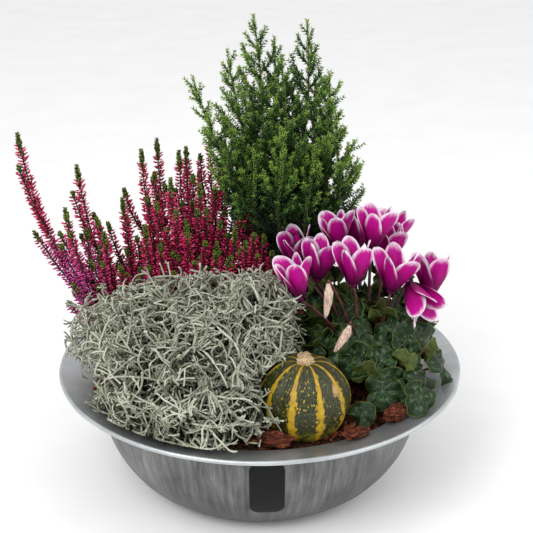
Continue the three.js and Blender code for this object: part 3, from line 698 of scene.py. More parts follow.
def stood(shape, feet, ways, lengths, radii):
    """Copies of a shape, each with its foot at a point and its length along a way."""
    feet, ways = np.asarray(feet, float), unit(ways)
    lengths = np.broadcast_to(lengths, len(feet))[:, None, None]
    radii = np.broadcast_to(radii, len(feet))[:, None, None]
    across, forward = sideways(ways)
    x, y, z = (shape.points[None, :, k, None] for k in range(3))
    ring = x * across[:, None] + y * forward[:, None]
    return feet[:, None] + ring * radii + z * lengths * ways[:, None]


def rods_along(shape, rings, paths, radii):
    """Copies of a rod bent along paths: copies, rings + 1 points, xyz. radii: copies, rings + 1."""
    ring = np.round(shape.points[:, 2] * rings).astype(int)
    across, forward = sideways(np.gradient(paths, axis=1))
    x, y = shape.points[None, :, 0, None], shape.points[None, :, 1, None]
    wall = x * across[:, ring] + y * forward[:, ring]
    return paths[:, ring] + wall * np.asarray(radii)[:, ring, None]


def stem_along(growth, path, thick, thin, sides=6, step=6, **traits):
    """A tapering stem along one path."""
    spots, _, share = along_path(path, step)
    rings = len(spots) - 1
    shape = rod(sides, rings)
    growth.add(shape, rods_along(shape, rings, spots[None], mix(thick, thin, share)[None]), **traits)


def whorls(path, step, count, lean, first=0.0, last=1.0):
    """Places in rows round a path: their feet, the ways out that lean from it, and their share of the way."""
    spots, ways, share = along_path(path, step)
    kept = (share >= first) & (share <= last)
    spots, ways, share = spots[kept], ways[kept], share[kept]
    across, forward = sideways(ways)
    turn = np.arange(len(spots))[:, None] * GOLDEN_ANGLE + np.arange(count) * math.tau / count
    turn = turn + chance.normal(0, 0.25, turn.shape)
    tilt = lean + chance.normal(0, 0.12, turn.shape)
    out = np.cos(turn)[..., None] * across[:, None] + np.sin(turn)[..., None] * forward[:, None]
    leaning = out * np.sin(tilt)[..., None] + ways[:, None] * np.cos(tilt)[..., None]
    feet = np.repeat(spots[:, None], count, axis=1)
    return feet.reshape(-1, 3), leaning.reshape(-1, 3), np.repeat(share, count)


# ---------- The bowl and its plate ----------
def wall_radius(z):
    drop = (NECK_HEIGHT - z) / NECK_HEIGHT
    return FOOT_RADIUS + (NECK_RADIUS - FOOT_RADIUS) * math.sqrt(max(0, 1 - drop * drop))


def wall_profile(inset, steps):
    """The wall's quarter ellipse from the foot to the neck."""
    width, height = NECK_RADIUS - FOOT_RADIUS - inset, NECK_HEIGHT - inset
    turns = [k / steps * math.pi / 2 for k in range(steps + 1)]
    return [(FOOT_RADIUS + width * math.sin(t), NECK_HEIGHT - height * math.cos(t)) for t in turns]


def spun(profile, steps):
    """A closed solid of revolution from a profile that starts and ends on the axis."""
    bm = bmesh.new()
    verts = [bm.verts.new((radius, 0, z)) for radius, z in profile]
    edges = [bm.edges.new(pair) for pair in zip(verts, verts[1:])]
    ops.spin(bm, geom=verts + edges, axis=(0, 0, 1), angle=math.tau, steps=steps, use_merge=True)
    ops.remove_doubles(bm, verts=bm.verts, dist=1e-4)
    ops.recalc_face_normals(bm, faces=bm.faces)
    return bm


def make_bowl():
    lip = (RIM_RADIUS - LIP_RADIUS, BOWL_HEIGHT - LIP_RADIUS)
    rolled = [math.radians(angle) for angle in range(-130, 111, 20)]
    rim = [(lip[0] + LIP_RADIUS * math.cos(t), lip[1] + LIP_RADIUS * math.sin(t)) for t in rolled]
    neck = [(NECK_RADIUS + 1.2, NECK_HEIGHT + 0.9), (NECK_RADIUS + 4, NECK_HEIGHT + 2.2)]
    inner_neck = [(NECK_RADIUS + 3.4, NECK_HEIGHT + 2.2 + ZINC), (NECK_RADIUS, NECK_HEIGHT + 1.2)]
    profile = [(0, 0), (FOOT_RADIUS - 12, 0), *wall_profile(0, 22), *neck, *rim, *inner_neck]
    profile += [*reversed(wall_profile(ZINC, 12)), (0, ZINC)]
    bm = spun(profile, 144)
    for vert in bm.verts:
        wobble = noise.noise(vert.co * 0.03) * 0.5 * min(1, vert.co.z / 20)
        vert.co.xy *= 1 - (0.5 - wobble) / 200
    piece_of(bm, "zinc_bowl", ZINC_FINISH, "zinc", "bowl")


def make_plate():
    """A rectangle with round corners, cut into strips and bent to the wall."""
    bm = fresh(ops.create_grid, x_segments=1, y_segments=1, size=0.5)
    ops.scale(bm, verts=bm.verts, vec=(*PLATE_SIZE, 1))
    rounding = {"affect": "VERTICES", "segments": 8, "profile": 0.5, "material": -1}
    ops.bevel(bm, geom=bm.verts[:], offset=PLATE_CORNER, **rounding)
    for k in range(-7, 8):
        ops.bisect_plane(bm, geom=everything(bm), plane_co=(k * 2, 0, 0), plane_no=(1, 0, 0))
        ops.bisect_plane(bm, geom=everything(bm), plane_co=(0, k * 4, 0), plane_no=(0, 1, 0))
    ops.solidify(bm, geom=bm.faces[:], thickness=PLATE_THICKNESS)
    ops.recalc_face_normals(bm, faces=bm.faces)
    rim = [edge for edge in bm.edges if edge.calc_face_angle(0) > 1]
    softening = {"affect": "EDGES", "segments": 2, "profile": 0.5, "material": -1}
    ops.bevel(bm, geom=rim, offset=0.2, **softening)
    top = max(vert.co.z for vert in bm.verts)
    for vert in bm.verts:
        z = PLATE_MIDDLE[1] + vert.co.y
        radius = wall_radius(z) + GAP + PLATE_THICKNESS - (top - vert.co.z)
        around = (PLATE_MIDDLE[0] + vert.co.x) / radius
        vert.co = (math.sin(around) * radius, -math.cos(around) * radius, z)
    piece_of(bm, "black_plate", black_plate_finish(), "black_plate", "plate")


# ---------- The gourd, the bark and the soil ----------
def make_gourd():
    bm = fresh(ops.create_uvsphere, u_segments=160, v_segments=72, radius=1)
    for vert in bm.verts:
        p = vert.co
        girth = p.xy.length
        furrow = 0.5 - 0.5 * math.cos(math.atan2(p.y, p.x) * GOURD_RIBS)
        lumps = noise.noise(p * 2.3) * 0.012
        radius = GOURD_RADIUS * (1 - RIB_DEPTH * girth * furrow**1.5 + lumps)
        dimple = DIMPLE_DEPTH * math.exp(-14 * girth * girth)
        height = p.z * GOURD_HEIGHT / 2 - math.copysign(dimple, p.z)
        vert.co = Vector((p.x * radius, p.y * radius, height)) + Vector(GOURD_CENTRE)
    piece_of(bm, "gourd_fruit", gourd_finish(), "gourd", "gourd")


def make_gourd_stem():
    """A ridged stem that spreads where it joins the fruit and ends in a slanting cut."""
    growth = Growth()
    shape = rod(40, 14)
    x, y, z = shape.points.T
    turn = np.arctan2(y, x)
    foot = np.exp(-5.5 * z)
    ridges = np.cos(turn * 5 + z * 0.8) * mix(0.12, 0.26, foot)
    flare = (6.6 + 5.4 * foot + 0.5 * np.sin(turn * 9 + 2)) * (1 + ridges)
    height = z * 6.5 + 2.6 * np.sin(turn) * z
    centre = GOURD_CENTRE + [0, 0, GOURD_HEIGHT / 2 - 5.6]
    points = np.stack([x * flare - height * 0.12, y * flare - height * 0.1, height], axis=1) + centre
    growth.add(shape, points[None])
    growth.piece("gourd_stalk", straw_finish(), "gourd_stem", "gourd_stem")


def make_bark():
    for number, (at, half, turn) in enumerate(BARK_PIECES, 1):
        bm = fresh(ops.create_icosphere, subdivisions=5, radius=1)
        shift = Vector((number * 7.1, 3, 1))
        for vert in bm.verts:
            p = vert.co.copy()
            torn = noise.noise(p * 1.6 + shift) * 0.36
            fibre = noise.noise(Vector((p.x * 1.2, p.y * 6, p.z * 8)) + shift) * 0.26
            vert.co = Vector(np.array(p) * half) * (0.94 + torn + fibre)
        ops.rotate(bm, verts=bm.verts, matrix=Matrix.Rotation(math.radians(turn), 3, "Z"))
        ops.translate(bm, verts=bm.verts, vec=at)
        piece_of(bm, f"bark_lump_{number:02d}", BARK_FINISH, "bark", f"bark_piece_{number:02d}")


def soil_height(x, y):
    out = math.hypot(x, y) / NECK_RADIUS
    bumps = 1.2 * math.sin(x * 0.11 + 1) * math.cos(y * 0.13) * (1 - out)
    return mix(SOIL_CROWN, SOIL_EDGE, out * out) + bumps


def make_soil():
    wall = wall_profile(ZINC + 2 * GAP, 12)
    edge = wall.pop()[0]
    top = [(edge * share / 40, SOIL_EDGE + 1) for share in range(40, -1, -1)]
    bm = spun([(0, ZINC + GAP), *wall, *top], 160)
    for vert in bm.verts:
        if vert.co.z > SOIL_EDGE:
            crumbs = noise.noise(vert.co * 0.11) * 2 + noise.noise(vert.co * 0.33) * 1.4
            vert.co.z = soil_height(vert.co.x, vert.co.y) + crumbs
    piece_of(bm, "soil_bed", soil_finish(), "soil", "soil")


def chip_shape(seed):
    """A torn flake, longest along X."""
    bm = fresh(ops.create_uvsphere, u_segments=7, v_segments=5, radius=1)
    shift = Vector((seed * 5.3, 0, 0))
    for vert in bm.verts:
        vert.co *= 1 + noise.noise(vert.co * 1.7 + shift) * 0.9
        vert.co.y *= 0.55
        vert.co.z *= 0.32
    return Shape(bm)


def make_flakes():
    """Bark flakes strewn over the soil, most of them near the bowl's wall."""
    growth = Growth()
    for seed in range(FLAKE_SHAPES):
        shape = chip_shape(seed)
        out = NECK_RADIUS * chance.uniform(0.55, 0.965, FLAKES_EACH) ** 0.8
        turn = chance.uniform(0, math.tau, FLAKES_EACH)
        x, y = out * np.cos(turn), out * np.sin(turn)
        heights = np.array([soil_height(a, b) for a, b in zip(x, y)])
        size = chance.uniform(3, 9.5, FLAKES_EACH) * np.where(out > 152, 0.7, 1)
        ways = unit(chance.normal(0, [1, 1, 0.22], (FLAKES_EACH, 3)))
        centres = np.stack([x, y, heights + chance.uniform(0, 2.5, FLAKES_EACH)], axis=1)
        across, upward = sideways(ways)
        upward = upward * np.sign(upward[:, 2:] + 1e-9)
        along, wide, thick = (shape.points[None, :, k, None] for k in range(3))
        body = along * ways[:, None] + (wide * across[:, None] + thick * upward[:, None])
        luck = chance.random((FLAKES_EACH, 1))
        growth.add(shape, centres[:, None] + body * size[:, None, None], luck=luck)
    growth.piece("bark_flakes", BARK_FINISH, "bark", "soil")


# ---------- The heather ----------
def heather_spike(growth, path, green, bare, width):
    """Rows of buds on a dark leafy stem that is bare at its foot and ends in a green tip."""
    length = np.linalg.norm(np.diff(path, axis=0), axis=1).sum()
    crown = 1 - green / length
    stem_along(growth, path, 1.2, 0.6, sides=5, step=8, wood=1)
    feet, ways, share = whorls(path, BUD_STEP, count=5, lean=1.12, first=bare, last=crown + 0.02)
    kept = chance.random(len(feet)) < 0.9
    feet, ways, share = feet[kept], ways[kept], share[kept]
    size = mix(1.0, 0.8, share) * chance.uniform(0.75, 1.15, len(feet))
    along = BUD.points[None, :, 2]
    growth.scatter(BUD, feet + ways * 1.6, ways, (width / 2 - 1) * size, 1.3 * size, along=along)
    feet, ways, _ = whorls(path, BUD_STEP, count=4, lean=0.75, first=bare * 0.5, last=crown)
    growth.scatter(NEEDLE, feet, ways, 4.2, 0.75, along=0.2, leafy=0.6, wood=0.45)
    feet, ways, share = whorls(path, GREEN_STEP, count=5, lean=0.78, first=crown - 0.02)
    rise = np.clip((share - crown) * length / green, 0, 1)
    size = mix(1.1, 0.75, abs(rise * 2 - 0.8)) * chance.uniform(0.85, 1.15, len(feet))
    growth.scatter(BUD, feet + ways * 0.3, ways, 4.2 * size, 1.25 * size, along=along, leafy=1)
    end = path[-1] - path[-2]
    growth.add(BUD, stood(BUD, path[-1:] - unit(end) * 2, [end], 4.0, 1.5), along=1.0, luck=0.8, leafy=1)


def heather_sprig(growth, tip, root, sides, first, green):
    """A long spike with shorter ones beside it."""
    main = rising_path((*root, SOIL_EDGE), tip, out=0.85, up=0.38, count=40)
    last = len(main) - 1
    heather_spike(growth, main, green, bare=0.14, width=15.5)
    for k in range(sides):
        at = mix(0.16, 0.66, (k + chance.random() * 0.8) / sides)
        spot = main[int(at * last)]
        out = level_way(k * GOLDEN_ANGLE + first) * [1, 0.8, 1] * chance.uniform(9, 22)
        end = main[int(min(0.92, at + chance.uniform(0.22, 0.42)) * last)] + out
        side = bent_path(spot, mix(spot, end, 0.35) + out * 0.55, end, 16)
        heather_spike(growth, side, green * chance.uniform(0.3, 0.65), bare=0.1, width=13.5)


def make_heather():
    finish = heather_finish()
    for number, (tip, root, sides) in enumerate(HEATHER_SPRIGS, 1):
        growth = Growth()
        heather_sprig(growth, tip, root, sides, number, GREEN_END)
        growth.piece(f"heather_spikes_{number:02d}", finish, "heather", f"heather_sprig_{number:02d}")
    for number, (tip, root, sides) in enumerate(LOW_SPRIGS, 1):
        growth = Growth()
        heather_sprig(growth, tip, root, sides, number + 0.5, LOW_GREEN_END)
        growth.piece(f"low_heather_{number:02d}", finish, "heather", "heather_sprig_12")


# ---------- The conifer ----------
def needled(growth, path, fresh, bare=0.0, length=4.8, fat=0.7):
    """A shoot with needles all round that point forwards, brighter towards its soft tip."""
    feet, ways, share = whorls(path, NEEDLE_STEP, count=4, lean=0.68, first=bare)
    size = length * mix(1.0, 0.85, share) * chance.uniform(0.75, 1.25, len(feet))
    glow = fresh * mix(0.35, 1.0, share)[:, None] + NEEDLE.points[None, :, 2] * 0.16
    growth.scatter(NEEDLE, feet, ways, size, fat, fresh=glow)


def conifer_room(spot, out):
    """How long a side shoot may be, so that the plant keeps clear of the heather and the blooms."""
    left = np.interp(spot[2], [160, 225, 260, 300, 340, 380], [0, -20, -33, -42, -54, -75])
    right = np.interp(spot[2], [160, 250, 290, 400], [84, 116, 110, 84])
    front = np.interp(spot[0], [-20, 5, 18, 56, 90], [56, 50, 48, 46, 66]) - max(0, spot[2] - 268) * 2
    aside = spot[0] - left if out[0] < 0 else right - spot[0]
    rooms = [max(aside, 3) / max(0.62 * abs(out[0]), 0.05)]
    if out[1] < 0:
        rooms.append(max(spot[1] - front, 3) / max(-0.62 * out[1], 0.05))
    return min(rooms)


def spray(growth, foot, along, out, length, fresh):
    """A side shoot that leaves a stem outwards and sweeps up, with its own smaller shoots to both sides."""
    along, out = unit(along), unit(out)
    length = min(length, conifer_room(foot, out))
    bend = foot + out * length * 0.42 + along * length * 0.22
    path = bent_path(foot, bend, foot + out * length * 0.6 + along * length * 0.8, 10)
    stem_along(growth, path, 0.6, 0.3, sides=3, step=8, fresh=fresh * 0.4, wood=0.3)
    needled(growth, path, fresh)
    spots, ways, share = along_path(path, 4.6)
    flat = np.cross(out, along)
    for k in range(1, len(spots) - 1):
        reach = mix(0.46, 0.22, share[k]) * length * chance.uniform(0.7, 1.2)
        if reach < 3.5:
            continue
        aside = flat * (1 if k % 2 else -1) + np.cross(flat, ways[k]) * chance.normal(0, 0.5)
        way = unit(ways[k] + aside * 0.6)
        bend = spots[k] + unit(way + aside * 0.35) * reach * 0.5
        twig = bent_path(spots[k], bend, spots[k] + way * reach, 6)
        needled(growth, twig, fresh * 1.15, length=4.3, fat=0.64)


def conifer_leader(growth, number, middle, tip):
    """A leading shoot from the fork to its tip, with side shoots all round."""
    fork = np.array([*CONIFER_ROOT, CONIFER_FORK], float)
    middle, tip = np.array(middle, float), np.array(tip, float)
    path = bent_path(fork, 2 * middle - (fork + tip) / 2, tip, 30)
    path[:, 0] += np.sin(np.linspace(0, 7, 30) + number) * np.sin(np.linspace(0, math.pi, 30)) * 4
    stem_along(growth, path, 1.6, 0.4, step=9, wood=0.5, fresh=0.2)
    needled(growth, path, 0.9, bare=0.1, length=5)
    spots, ways, share = along_path(path, 6)
    for k in range(1, len(spots)):
        below = (1 - share[k]) * np.linalg.norm(tip - fork)
        if below < 7:
            continue
        out = level_way(k * GOLDEN_ANGLE + number + chance.normal(0, 0.3))
        length = min(46, 8 + 0.32 * below) * chance.uniform(0.7, 1.2)
        depth = np.linalg.norm((spots[k] + out * length * 0.6)[:2] - CONIFER_ROOT) / 60
        spray(growth, spots[k], ways[k], out, length, mix(0.25, 0.85, share[k]) + 0.45 * (depth - 0.5))


def make_conifer():
    finish = conifer_finish()
    for number, (middle, tip) in enumerate(CONIFER_LEADERS, 1):
        growth = Growth()
        conifer_leader(growth, number, middle, tip)
        growth.piece(f"conifer_leader_{number:02d}", finish, "conifer", "conifer")
    growth = Growth()
    trunk = np.array([(*CONIFER_ROOT, SOIL_EDGE), (*CONIFER_ROOT, CONIFER_FORK + 12)], float)
    stem_along(growth, trunk, 3.6, 2.6, sides=10, wood=1)
    for k in range(SKIRT_SPRAYS):
        out = level_way(k * GOLDEN_ANGLE)
        foot = np.array([*CONIFER_ROOT, mix(134, 275, (k + 0.5) / SKIRT_SPRAYS)]) + out * 8
        spray(growth, foot, (0, 0, 1), out, chance.uniform(40, 68), chance.uniform(0.1, 0.75))
    growth.piece("conifer_skirt", finish, "conifer", "conifer")


# ---------- The cushion bush ----------
def kept_clear(points):
    """Keeps points of the bush inside the bowl's rim, above the soil and out of the gourd."""
    girth = np.linalg.norm(points[..., :2], axis=-1, keepdims=True)
    points[..., :2] *= np.minimum(1, BUSH_LIMIT / girth)
    floor = BUSH_FLOOR + np.maximum(0, girth[..., 0] - NECK_RADIUS) * 0.28
    points[..., 2] = np.maximum(points[..., 2], floor)
    away = (points - GOURD_CENTRE) / (np.array([GOURD_RADIUS, GOURD_RADIUS, GOURD_HEIGHT / 2]) + 2.5)
    inside = np.minimum(1, np.linalg.norm(away, axis=-1, keepdims=True))
    return points + (points - GOURD_CENTRE) * (1 / inside - 1)


def wandering(starts, ways, home, rings, step, stray):
    """Curved paths that turn back where they leave their part of the bush: paths, rings + 1 points, xyz."""
    centres, reaches, limits = home
    spots, ways = [starts], unit(ways)
    bends = chance.normal(0, 0.09, ways.shape)
    for _ in range(rings):
        away = (spots[-1] - centres) / reaches
        outward = unit(away / reaches)
        over = np.clip((np.linalg.norm(away, axis=-1, keepdims=True) - limits) * 3, 0, 1)
        climb = np.maximum(0, (ways * outward).sum(axis=-1, keepdims=True))
        ways = unit(ways + bends + chance.normal(0, stray, ways.shape) - outward * over * (climb * 0.7 + 0.1))
        spots.append(kept_clear(spots[-1] + ways * step))
    paths = np.stack(spots, axis=1)
    paths[:, 1:-1] = (paths[:, :-2] + paths[:, 1:-1] * 2 + paths[:, 2:]) / 4
    return paths


def bush_directions(count, low):
    heights = mix(low, 0.99, np.linspace(0, 1, count) ** 0.8)
    turns = np.arange(count) * GOLDEN_ANGLE
    out = np.sqrt(1 - heights**2)
    return np.stack([np.sin(turns) * out, np.cos(turns) * out, heights], axis=1)


def add_wires(growth, paths, home, radius, sides=3):
    centres, reaches, _ = home
    rings = paths.shape[1] - 1
    shape = rod(sides, rings)
    knobs = chance.uniform(0.7, 1.3, paths.shape[:2])
    radii = radius * knobs * np.linspace(1.1, 0.9, rings + 1)
    depth = np.linalg.norm((paths - centres[:, None]) / reaches[:, None], axis=-1)
    # How far out a point lies in its part of the bush, which sets the painted shade deep inside.
    outer = np.clip((depth - 0.5) / 0.5, 0, 1)[:, np.round(shape.points[:, 2] * rings).astype(int)]
    luck = chance.random((len(paths), 1))
    growth.add(shape, rods_along(shape, rings, paths, radii), outer=outer, luck=luck)


def forks(paths, home, count):
    """Places on paths where twigs start, the ways they go, and their home in the bush."""
    owners = chance.integers(0, len(paths), count)
    picks = chance.integers(2, paths.shape[1] - 1, count)
    feet = paths[owners, picks]
    along = unit(paths[owners, picks + 1] - feet)
    across, forward = sideways(along)
    turn = chance.uniform(0, math.tau, (count, 1))
    ways = along + (across * np.cos(turn) + forward * np.sin(turn)) * chance.uniform(0.7, 1.4, (count, 1))
    return feet, ways, [values[owners] for values in home]


def branched(growth, paths, home, count, further, radius, **course):
    """Wires that start on other wires and may go further out. course is what wandering takes."""
    feet, ways, home = forks(paths, home, count)
    centres, reaches, limits = home
    twigs = wandering(feet, ways, (centres, reaches, limits + further), **course)
    add_wires(growth, twigs, home, radius)
    return twigs, home


def make_bush_middle(finish):
    # A dark rough body inside the wires: with no traits it takes the full painted shade of the bush's inside.
    bm = fresh(ops.create_icosphere, subdivisions=5, radius=1)
    for vert in bm.verts:
        rough = 1 + noise.noise(vert.co * 5) * 0.1 + noise.noise(vert.co * 14) * 0.07
        vert.co = Vector(np.array(vert.co) * BUSH_CORE * rough + BUSH_CENTRE)
    piece_of(bm, "bush_middle", finish, "cushion_bush", "cushion_bush")


def bush_stems():
    """The long wires, and their home: each one's centre, its reach and its limit as a share of that."""
    counts = [count for _, _, count in BUSH_PARTS]
    centres = np.repeat([centre for centre, _, _ in BUSH_PARTS], counts, axis=0).astype(float)
    reaches = np.repeat([reach for _, reach, _ in BUSH_PARTS], counts, axis=0).astype(float)
    directions = np.concatenate([bush_directions(count, -0.25) for count in counts])
    total = len(centres)
    limits = chance.uniform(0.72, 0.98, (total, 1)) + (chance.random((total, 1)) < 0.1) * 0.12
    starts = centres + directions * reaches * chance.uniform(0.3, 0.8, (total, 1))
    ways = directions * 0.6 + chance.normal(0, 0.6, directions.shape)
    home = (centres, reaches, limits)
    return wandering(kept_clear(starts), ways, home, rings=22, step=3.0, stray=0.1), home


def add_loose_ends(growth, stems, home):
    """Wires that point straight out of the bush, with small knobs."""
    feet, ways, (centres, reaches, _) = forks(stems, home, LOOSE_ENDS)
    outward = (feet - centres) / reaches
    outer = np.linalg.norm(outward, axis=1) > 0.8
    feet, ways, centres, reaches, outward = (v[outer] for v in (feet, ways, centres, reaches, outward))
    home = (centres, reaches, np.full((len(feet), 1), 1.6))
    ways = unit(outward / reaches) * 1.1 + ways * 0.5
    ends = wandering(feet, ways, home, rings=6, step=2.4, stray=0.14)
    add_wires(growth, ends, home, 0.85, 4)
    branched(growth, ends, home, len(ends) * 2, 0, 0.85, rings=3, step=1.7, stray=0.2)


def make_cushion_bush():
    finish = cushion_bush_finish()
    make_bush_middle(finish)
    stems, home = bush_stems()
    growth = Growth()
    trunk = np.array([(*BUSH_CENTRE[:2], SOIL_EDGE), tuple(BUSH_CENTRE)], float)
    # The trunk takes painted shade, as it stands inside the bush.
    stem_along(growth, trunk, 5.5, 5.5, sides=8, outer=0.2)
    add_wires(growth, stems, home, 0.98, 4)
    growth.piece("bush_stems", finish, "cushion_bush", "cushion_bush")
    for name in ("bush_twigs", "bush_tips"):
        growth = Growth()
        twigs, nest = branched(growth, stems, home, BUSH_TWIGS, 0.16, 0.88, rings=8, step=2.5, stray=0.16)
        branched(growth, twigs, nest, TWIG_KNOBS, 0.2, 0.85, rings=3, step=1.9, stray=0.2)
        growth.piece(name, finish, "cushion_bush", "cushion_bush")
    growth = Growth()
    add_loose_ends(growth, stems, home)
    growth.piece("bush_ends", finish, "cushion_bush", "cushion_bush")


# ---------- The cyclamen ----------
def from_corm(spot):
    """The level way from the corm's middle to below a spot, at its full length."""
    return np.array([*(spot - CORM_CENTRE)[:2], 0.0])


def standing(spot, way, turn):
    """The matrix that stands +Z along a way at a spot, turned about it."""
    upright = Vector((0, 0, 1)).rotation_difference(Vector(way).normalized())
    return Matrix.Translation(spot) @ upright.to_matrix().to_4x4() @ Matrix.Rotation(turn, 4, "Z")


def moved(points, matrix):
    matrix = np.array(matrix)
    return points @ matrix[:3, :3].T + matrix[:3, 3]


def petal_points(number, spread, lean, length, curl):
    """One petal: narrow where it wraps the mouth, then as full as an egg and turned like a propeller."""
    u, v, inside = PETAL.points.T
    rise = 1 - (1 - u) ** 1.6
    foot = MOUTH_RADIUS * math.sin(math.pi / PETALS)
    cap = np.sqrt(1 - np.clip((rise - 0.54) / 0.465, 0, 1) ** 2.2)
    belly = np.where(rise > 0.54, cap, np.sin(rise / 0.54 * math.pi / 2))
    width = v * (foot * (1 - rise) + PETAL_HALF_WIDTH * belly)
    away = mix(MOUTH_RADIUS * math.cos(math.pi / PETALS), spread, rise**0.66) + lean * rise**3
    bend = away * mix(1.0, 1.3, rise)
    turned = width / PETAL_HALF_WIDTH * (1.2 + rise * 6)
    ripple = 0.6 * np.sin(v * 5 + number * 2.1) * rise**2 + curl * np.maximum(0, np.abs(v) - 0.6) * rise * 4
    out = away - bend + bend * np.cos(width / bend) + turned + ripple - inside * 0.5
    points = np.stack([out, bend * np.sin(width / bend), length * rise], axis=1)
    return moved(points, Matrix.Rotation(number * math.tau / PETALS, 4, "Z"))


def make_blooms():
    finish = petal_finish()
    for number, (foot, axis, turn) in enumerate(BLOOMS, 1):
        growth = Growth()
        place = standing(foot, axis, math.radians(turn))
        spread = PETAL_SPREAD * chance.uniform(0.75, 1.05)
        for k in range(PETALS):
            length = PETAL_LENGTH * chance.uniform(0.94, 1.05)
            points = petal_points(k, spread, chance.uniform(-2, 4.5), length, chance.normal(0, 0.5))
            u, v, _ = PETAL.points.T
            growth.add(PETAL, moved(points, place)[None], along=u, across=v, luck=chance.random())
        throat = np.array([moved(np.array([0.0, 0, h]), place) for h in (-2.6, 0, 3)])
        shape = rod(10, 2)
        radii = np.array([[2.2, 5.0, 3.6]])
        growth.add(shape, rods_along(shape, 2, throat[None], radii), along=0.05, across=0, luck=0.5)
        growth.piece(f"bloom_{number:02d}", finish, "petals", f"cyclamen_bloom_{number:02d}")


def make_spent_flowers():
    finish = spent_finish()
    rings = 16
    shape = rod(25, rings)
    x, y, z = shape.points.T
    ring = np.round(z * rings).astype(int)
    pleats = 1 + 0.28 * np.cos(np.arctan2(y, x) * 5 + z * 5) * np.minimum(1, z * 4)
    body = np.interp(z, [0, 0.25, 0.55, 0.85, 1], [1.6, 3.6, 3.2, 2.1, 0.7])
    for number, (top, tip) in enumerate(SPENT_FLOWERS, 1):
        growth = Growth()
        top, tip = np.array(top, float), np.array(tip, float)
        path = bent_path(top, mix(top, tip, 0.5) + [2.5, 0, 0], tip, rings + 1)
        across, forward = sideways(np.gradient(path, axis=0))
        wall = x[:, None] * across[ring] + y[:, None] * forward[ring]
        growth.add(shape, (path[ring] + wall * (body * pleats)[:, None])[None])
        growth.piece(f"withered_{number:02d}", finish, "spent_petals", f"spent_flower_{number:02d}")


def make_stalks():
    growth = Growth()
    ends = [np.array(foot, float) - unit(axis) * 2.6 for foot, axis, _ in BLOOMS]
    ends += [np.array(top, float) + [0, 0, 3.5] for top, _ in SPENT_FLOWERS]
    for end in ends:
        foot = CORM_CENTRE + unit(from_corm(end)) * 10 + [0, 0, 6]
        stem_along(growth, rising_path(foot, end, out=0.25, up=0.6), 1.9, STALK_RADIUS, sides=8, step=7)
    growth.piece("flower_stalks", STALK_FINISH, "stalks", "cyclamen_stalks")
    bm = fresh(ops.create_uvsphere, u_segments=32, v_segments=16, radius=CORM_RADIUS)
    for vert in bm.verts:
        vert.co *= 1 + noise.noise(vert.co * 0.15) * 0.08
        vert.co.z *= 0.6
    ops.translate(bm, verts=bm.verts, vec=CORM_CENTRE)
    piece_of(bm, "corm", STALK_FINISH, "stalks", "cyclamen_stalks")


def draw(number, step):
    """From 0 to 1, and the same for the same pair, here and in the solids."""
    wave = math.sin(number * 12.9898 + step * 78.233) * 43758.5453
    return wave - math.floor(wave)


def leaf_stand(place, seed, moves):
    """Where a leaf stands and how far it is turned, once it is moved on as often as its solid."""
    shift = np.array([draw(seed, moves + step) for step in (0, 0.3, 0.6)]) - 0.5
    return place + shift * moves * 0.5, draw(seed, 9) * 2 - 1 + moves * 0.7


def leaf_facing(spot):
    """Leaves lean further out the further they stand from the corm."""
    outward = from_corm(spot)
    tilt = min(max(np.linalg.norm(outward) / 80, 0.2), 1)
    return unit(outward) * math.sin(tilt) + [0, 0, math.cos(tilt)]


def leaf_points(half, seed, cup):
    """A heart with a crisped edge, lying flat, with the stalk's joint at its middle."""
    x, y, face = LEAF.points.T
    reach, angle = np.hypot(x, y), np.arctan2(y, x)
    notch = 1 - 0.45 * np.exp(-(((np.abs(angle) - math.pi) / 0.4) ** 2))
    apex = 1 + 0.2 * np.exp(-((angle / 0.45) ** 2))
    scallops = 1 + 0.02 * np.sin(angle * 23 + seed) * reach**6
    wave = 4.8 * reach**2 * np.sin(angle * 4 + seed * 1.7) * half / 20
    crisp = 2.2 * reach**4 * np.sin(angle * 9 + seed * 2.3) * half / 20
    veins = np.exp(-((np.sin(angle * 4.5) * reach / 0.09) ** 2)) * reach * (1 - reach)
    height = wave + crisp - veins - 0.2 * half * reach**2 + cup * half * reach * np.abs(y)
    size = half * notch * scallops
    return np.stack([x * size * apex, y * size * (1 - 0.25 * cup), height - 0.9 + face * 0.6], axis=1)


def add_leaf(growth, spot, half, facing, turn, seed, cup=0.0):
    """A leaf on its stalk. cup folds its two sides upwards."""
    points = moved(leaf_points(half, seed, cup), standing(spot, facing, turn))
    x, y, face = LEAF.points.T
    growth.add(LEAF, points[None], leaf_x=x, leaf_y=y, under=1 - face, luck=(seed * 0.37) % 1)
    outward = from_corm(spot)
    rise = 9 - np.linalg.norm(outward) / 14
    foot = CORM_CENTRE + unit(outward + 1e-9) * (CORM_RADIUS + 1) + [0, 0, rise]
    path = rising_path(foot, spot - facing * 0.4, out=0.6, up=0.5, count=16)
    stem_along(growth, path, 1.5, 1.0, sides=6, step=5, stalk=1, luck=0.5)


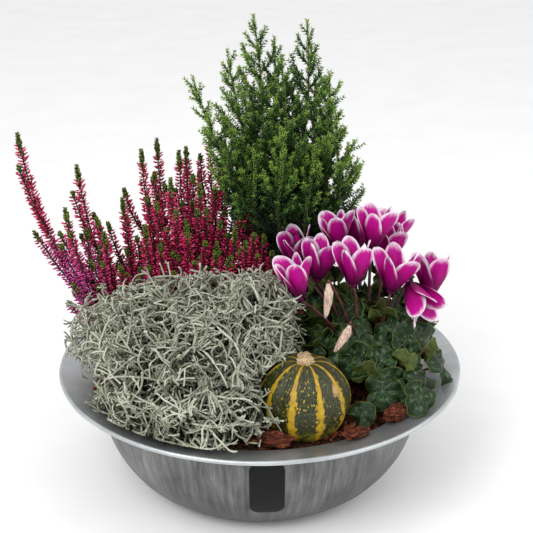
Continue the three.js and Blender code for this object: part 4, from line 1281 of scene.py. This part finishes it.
def make_leaves():
    finish = leaf_finish()
    taken = []
    for seed, (place, half, moves) in enumerate(LEAVES):
        growth = Growth()
        spot, turn = leaf_stand(place, seed, moves)
        add_leaf(growth, spot, half, leaf_facing(spot), turn, seed)
        growth.piece(f"leaf_{seed + 1:02d}", finish, "leaves", f"cyclamen_leaf_{seed + 1:02d}")
        taken.append(spot)
    growth = Growth()
    for k in range(SMALL_LEAVES):
        share = math.sqrt((k + 0.5) / SMALL_LEAVES)
        way = level_way(k * GOLDEN_ANGLE)
        height = LEAF_DOME[1] - 58 * share**2 * (1 - 1.2 * max(0, way[1])) + chance.uniform(-7, 5)
        spot = np.array([*(CORM_CENTRE + LEAF_DOME[0] * share * way)[:2], height])
        half = chance.uniform(13, 20)
        in_gourd = np.linalg.norm((spot - GOURD_CENTRE) / (GOURD_RADIUS + half + 2)) < 1
        crowded = min(np.linalg.norm(spot - other) for other in taken) < half * 0.9
        if in_gourd or crowded or np.hypot(*spot[:2]) > 186 - half or spot[0] < 22:
            continue
        taken.append(spot)
        facing = unit(leaf_facing(spot) + chance.normal(0, 0.3, 3) + [0, 1.6 if k % 5 == 0 else -0.3, 0])
        cup = max(0.0, chance.uniform(-0.4, 1.1))
        add_leaf(growth, spot, half, facing, chance.uniform(0, math.tau), k + 20, cup)
    growth.piece("small_leaves", finish, "leaves", "cyclamen_stalks")


# ---------- Floor, light and camera ----------
def make_floor():
    bm = fresh(ops.create_grid, x_segments=8, y_segments=8, size=4)
    floor = in_scene("floor", mesh_of(bm, "floor"))
    floor.data.materials.append(floor_finish().material)


def add_light(name, spot, width, watts):
    light = bpy.data.lights.new(name, "AREA")
    light.size = width
    light.energy = watts
    lamp = in_scene(name, light)
    lamp.location = spot
    lamp.rotation_euler = (Vector(LIGHT_TARGET) - Vector(spot)).to_track_quat("-Z", "Y").to_euler()


def make_studio():
    scene = bpy.context.scene
    scene.view_settings.view_transform = "Standard"
    scene.world = bpy.data.worlds.new("studio")
    scene.world.use_nodes = True
    sky = scene.world.node_tree.nodes["Background"].inputs
    sky["Color"].default_value = (1, 1, 1, 1)
    sky["Strength"].default_value = 0.92
    for light in LIGHTS:
        add_light(*light)
    camera = in_scene("camera", bpy.data.cameras.new("camera"))
    camera.data.lens = CAMERA_LENS
    camera.data.sensor_width = SENSOR_WIDTH
    camera.location = CAMERA_SPOT
    camera.rotation_euler = (math.radians(90 - CAMERA_TILT), 0, 0)
    scene.camera = camera


BUD = bud_shape()
NEEDLE = needle_shape()
PETAL = sheet_shape(14, 10)
LEAF = disc_shape(56, 9)
ZINC_FINISH = zinc_finish()
BARK_FINISH = bark_finish()
STALK_FINISH = stalk_finish()

make_studio()
make_floor()
make_bowl()
make_plate()
make_gourd()
make_gourd_stem()
make_bark()
make_soil()
make_flakes()
make_heather()
make_conifer()
make_cushion_bush()
make_blooms()
make_spent_flowers()
make_stalks()
make_leaves()
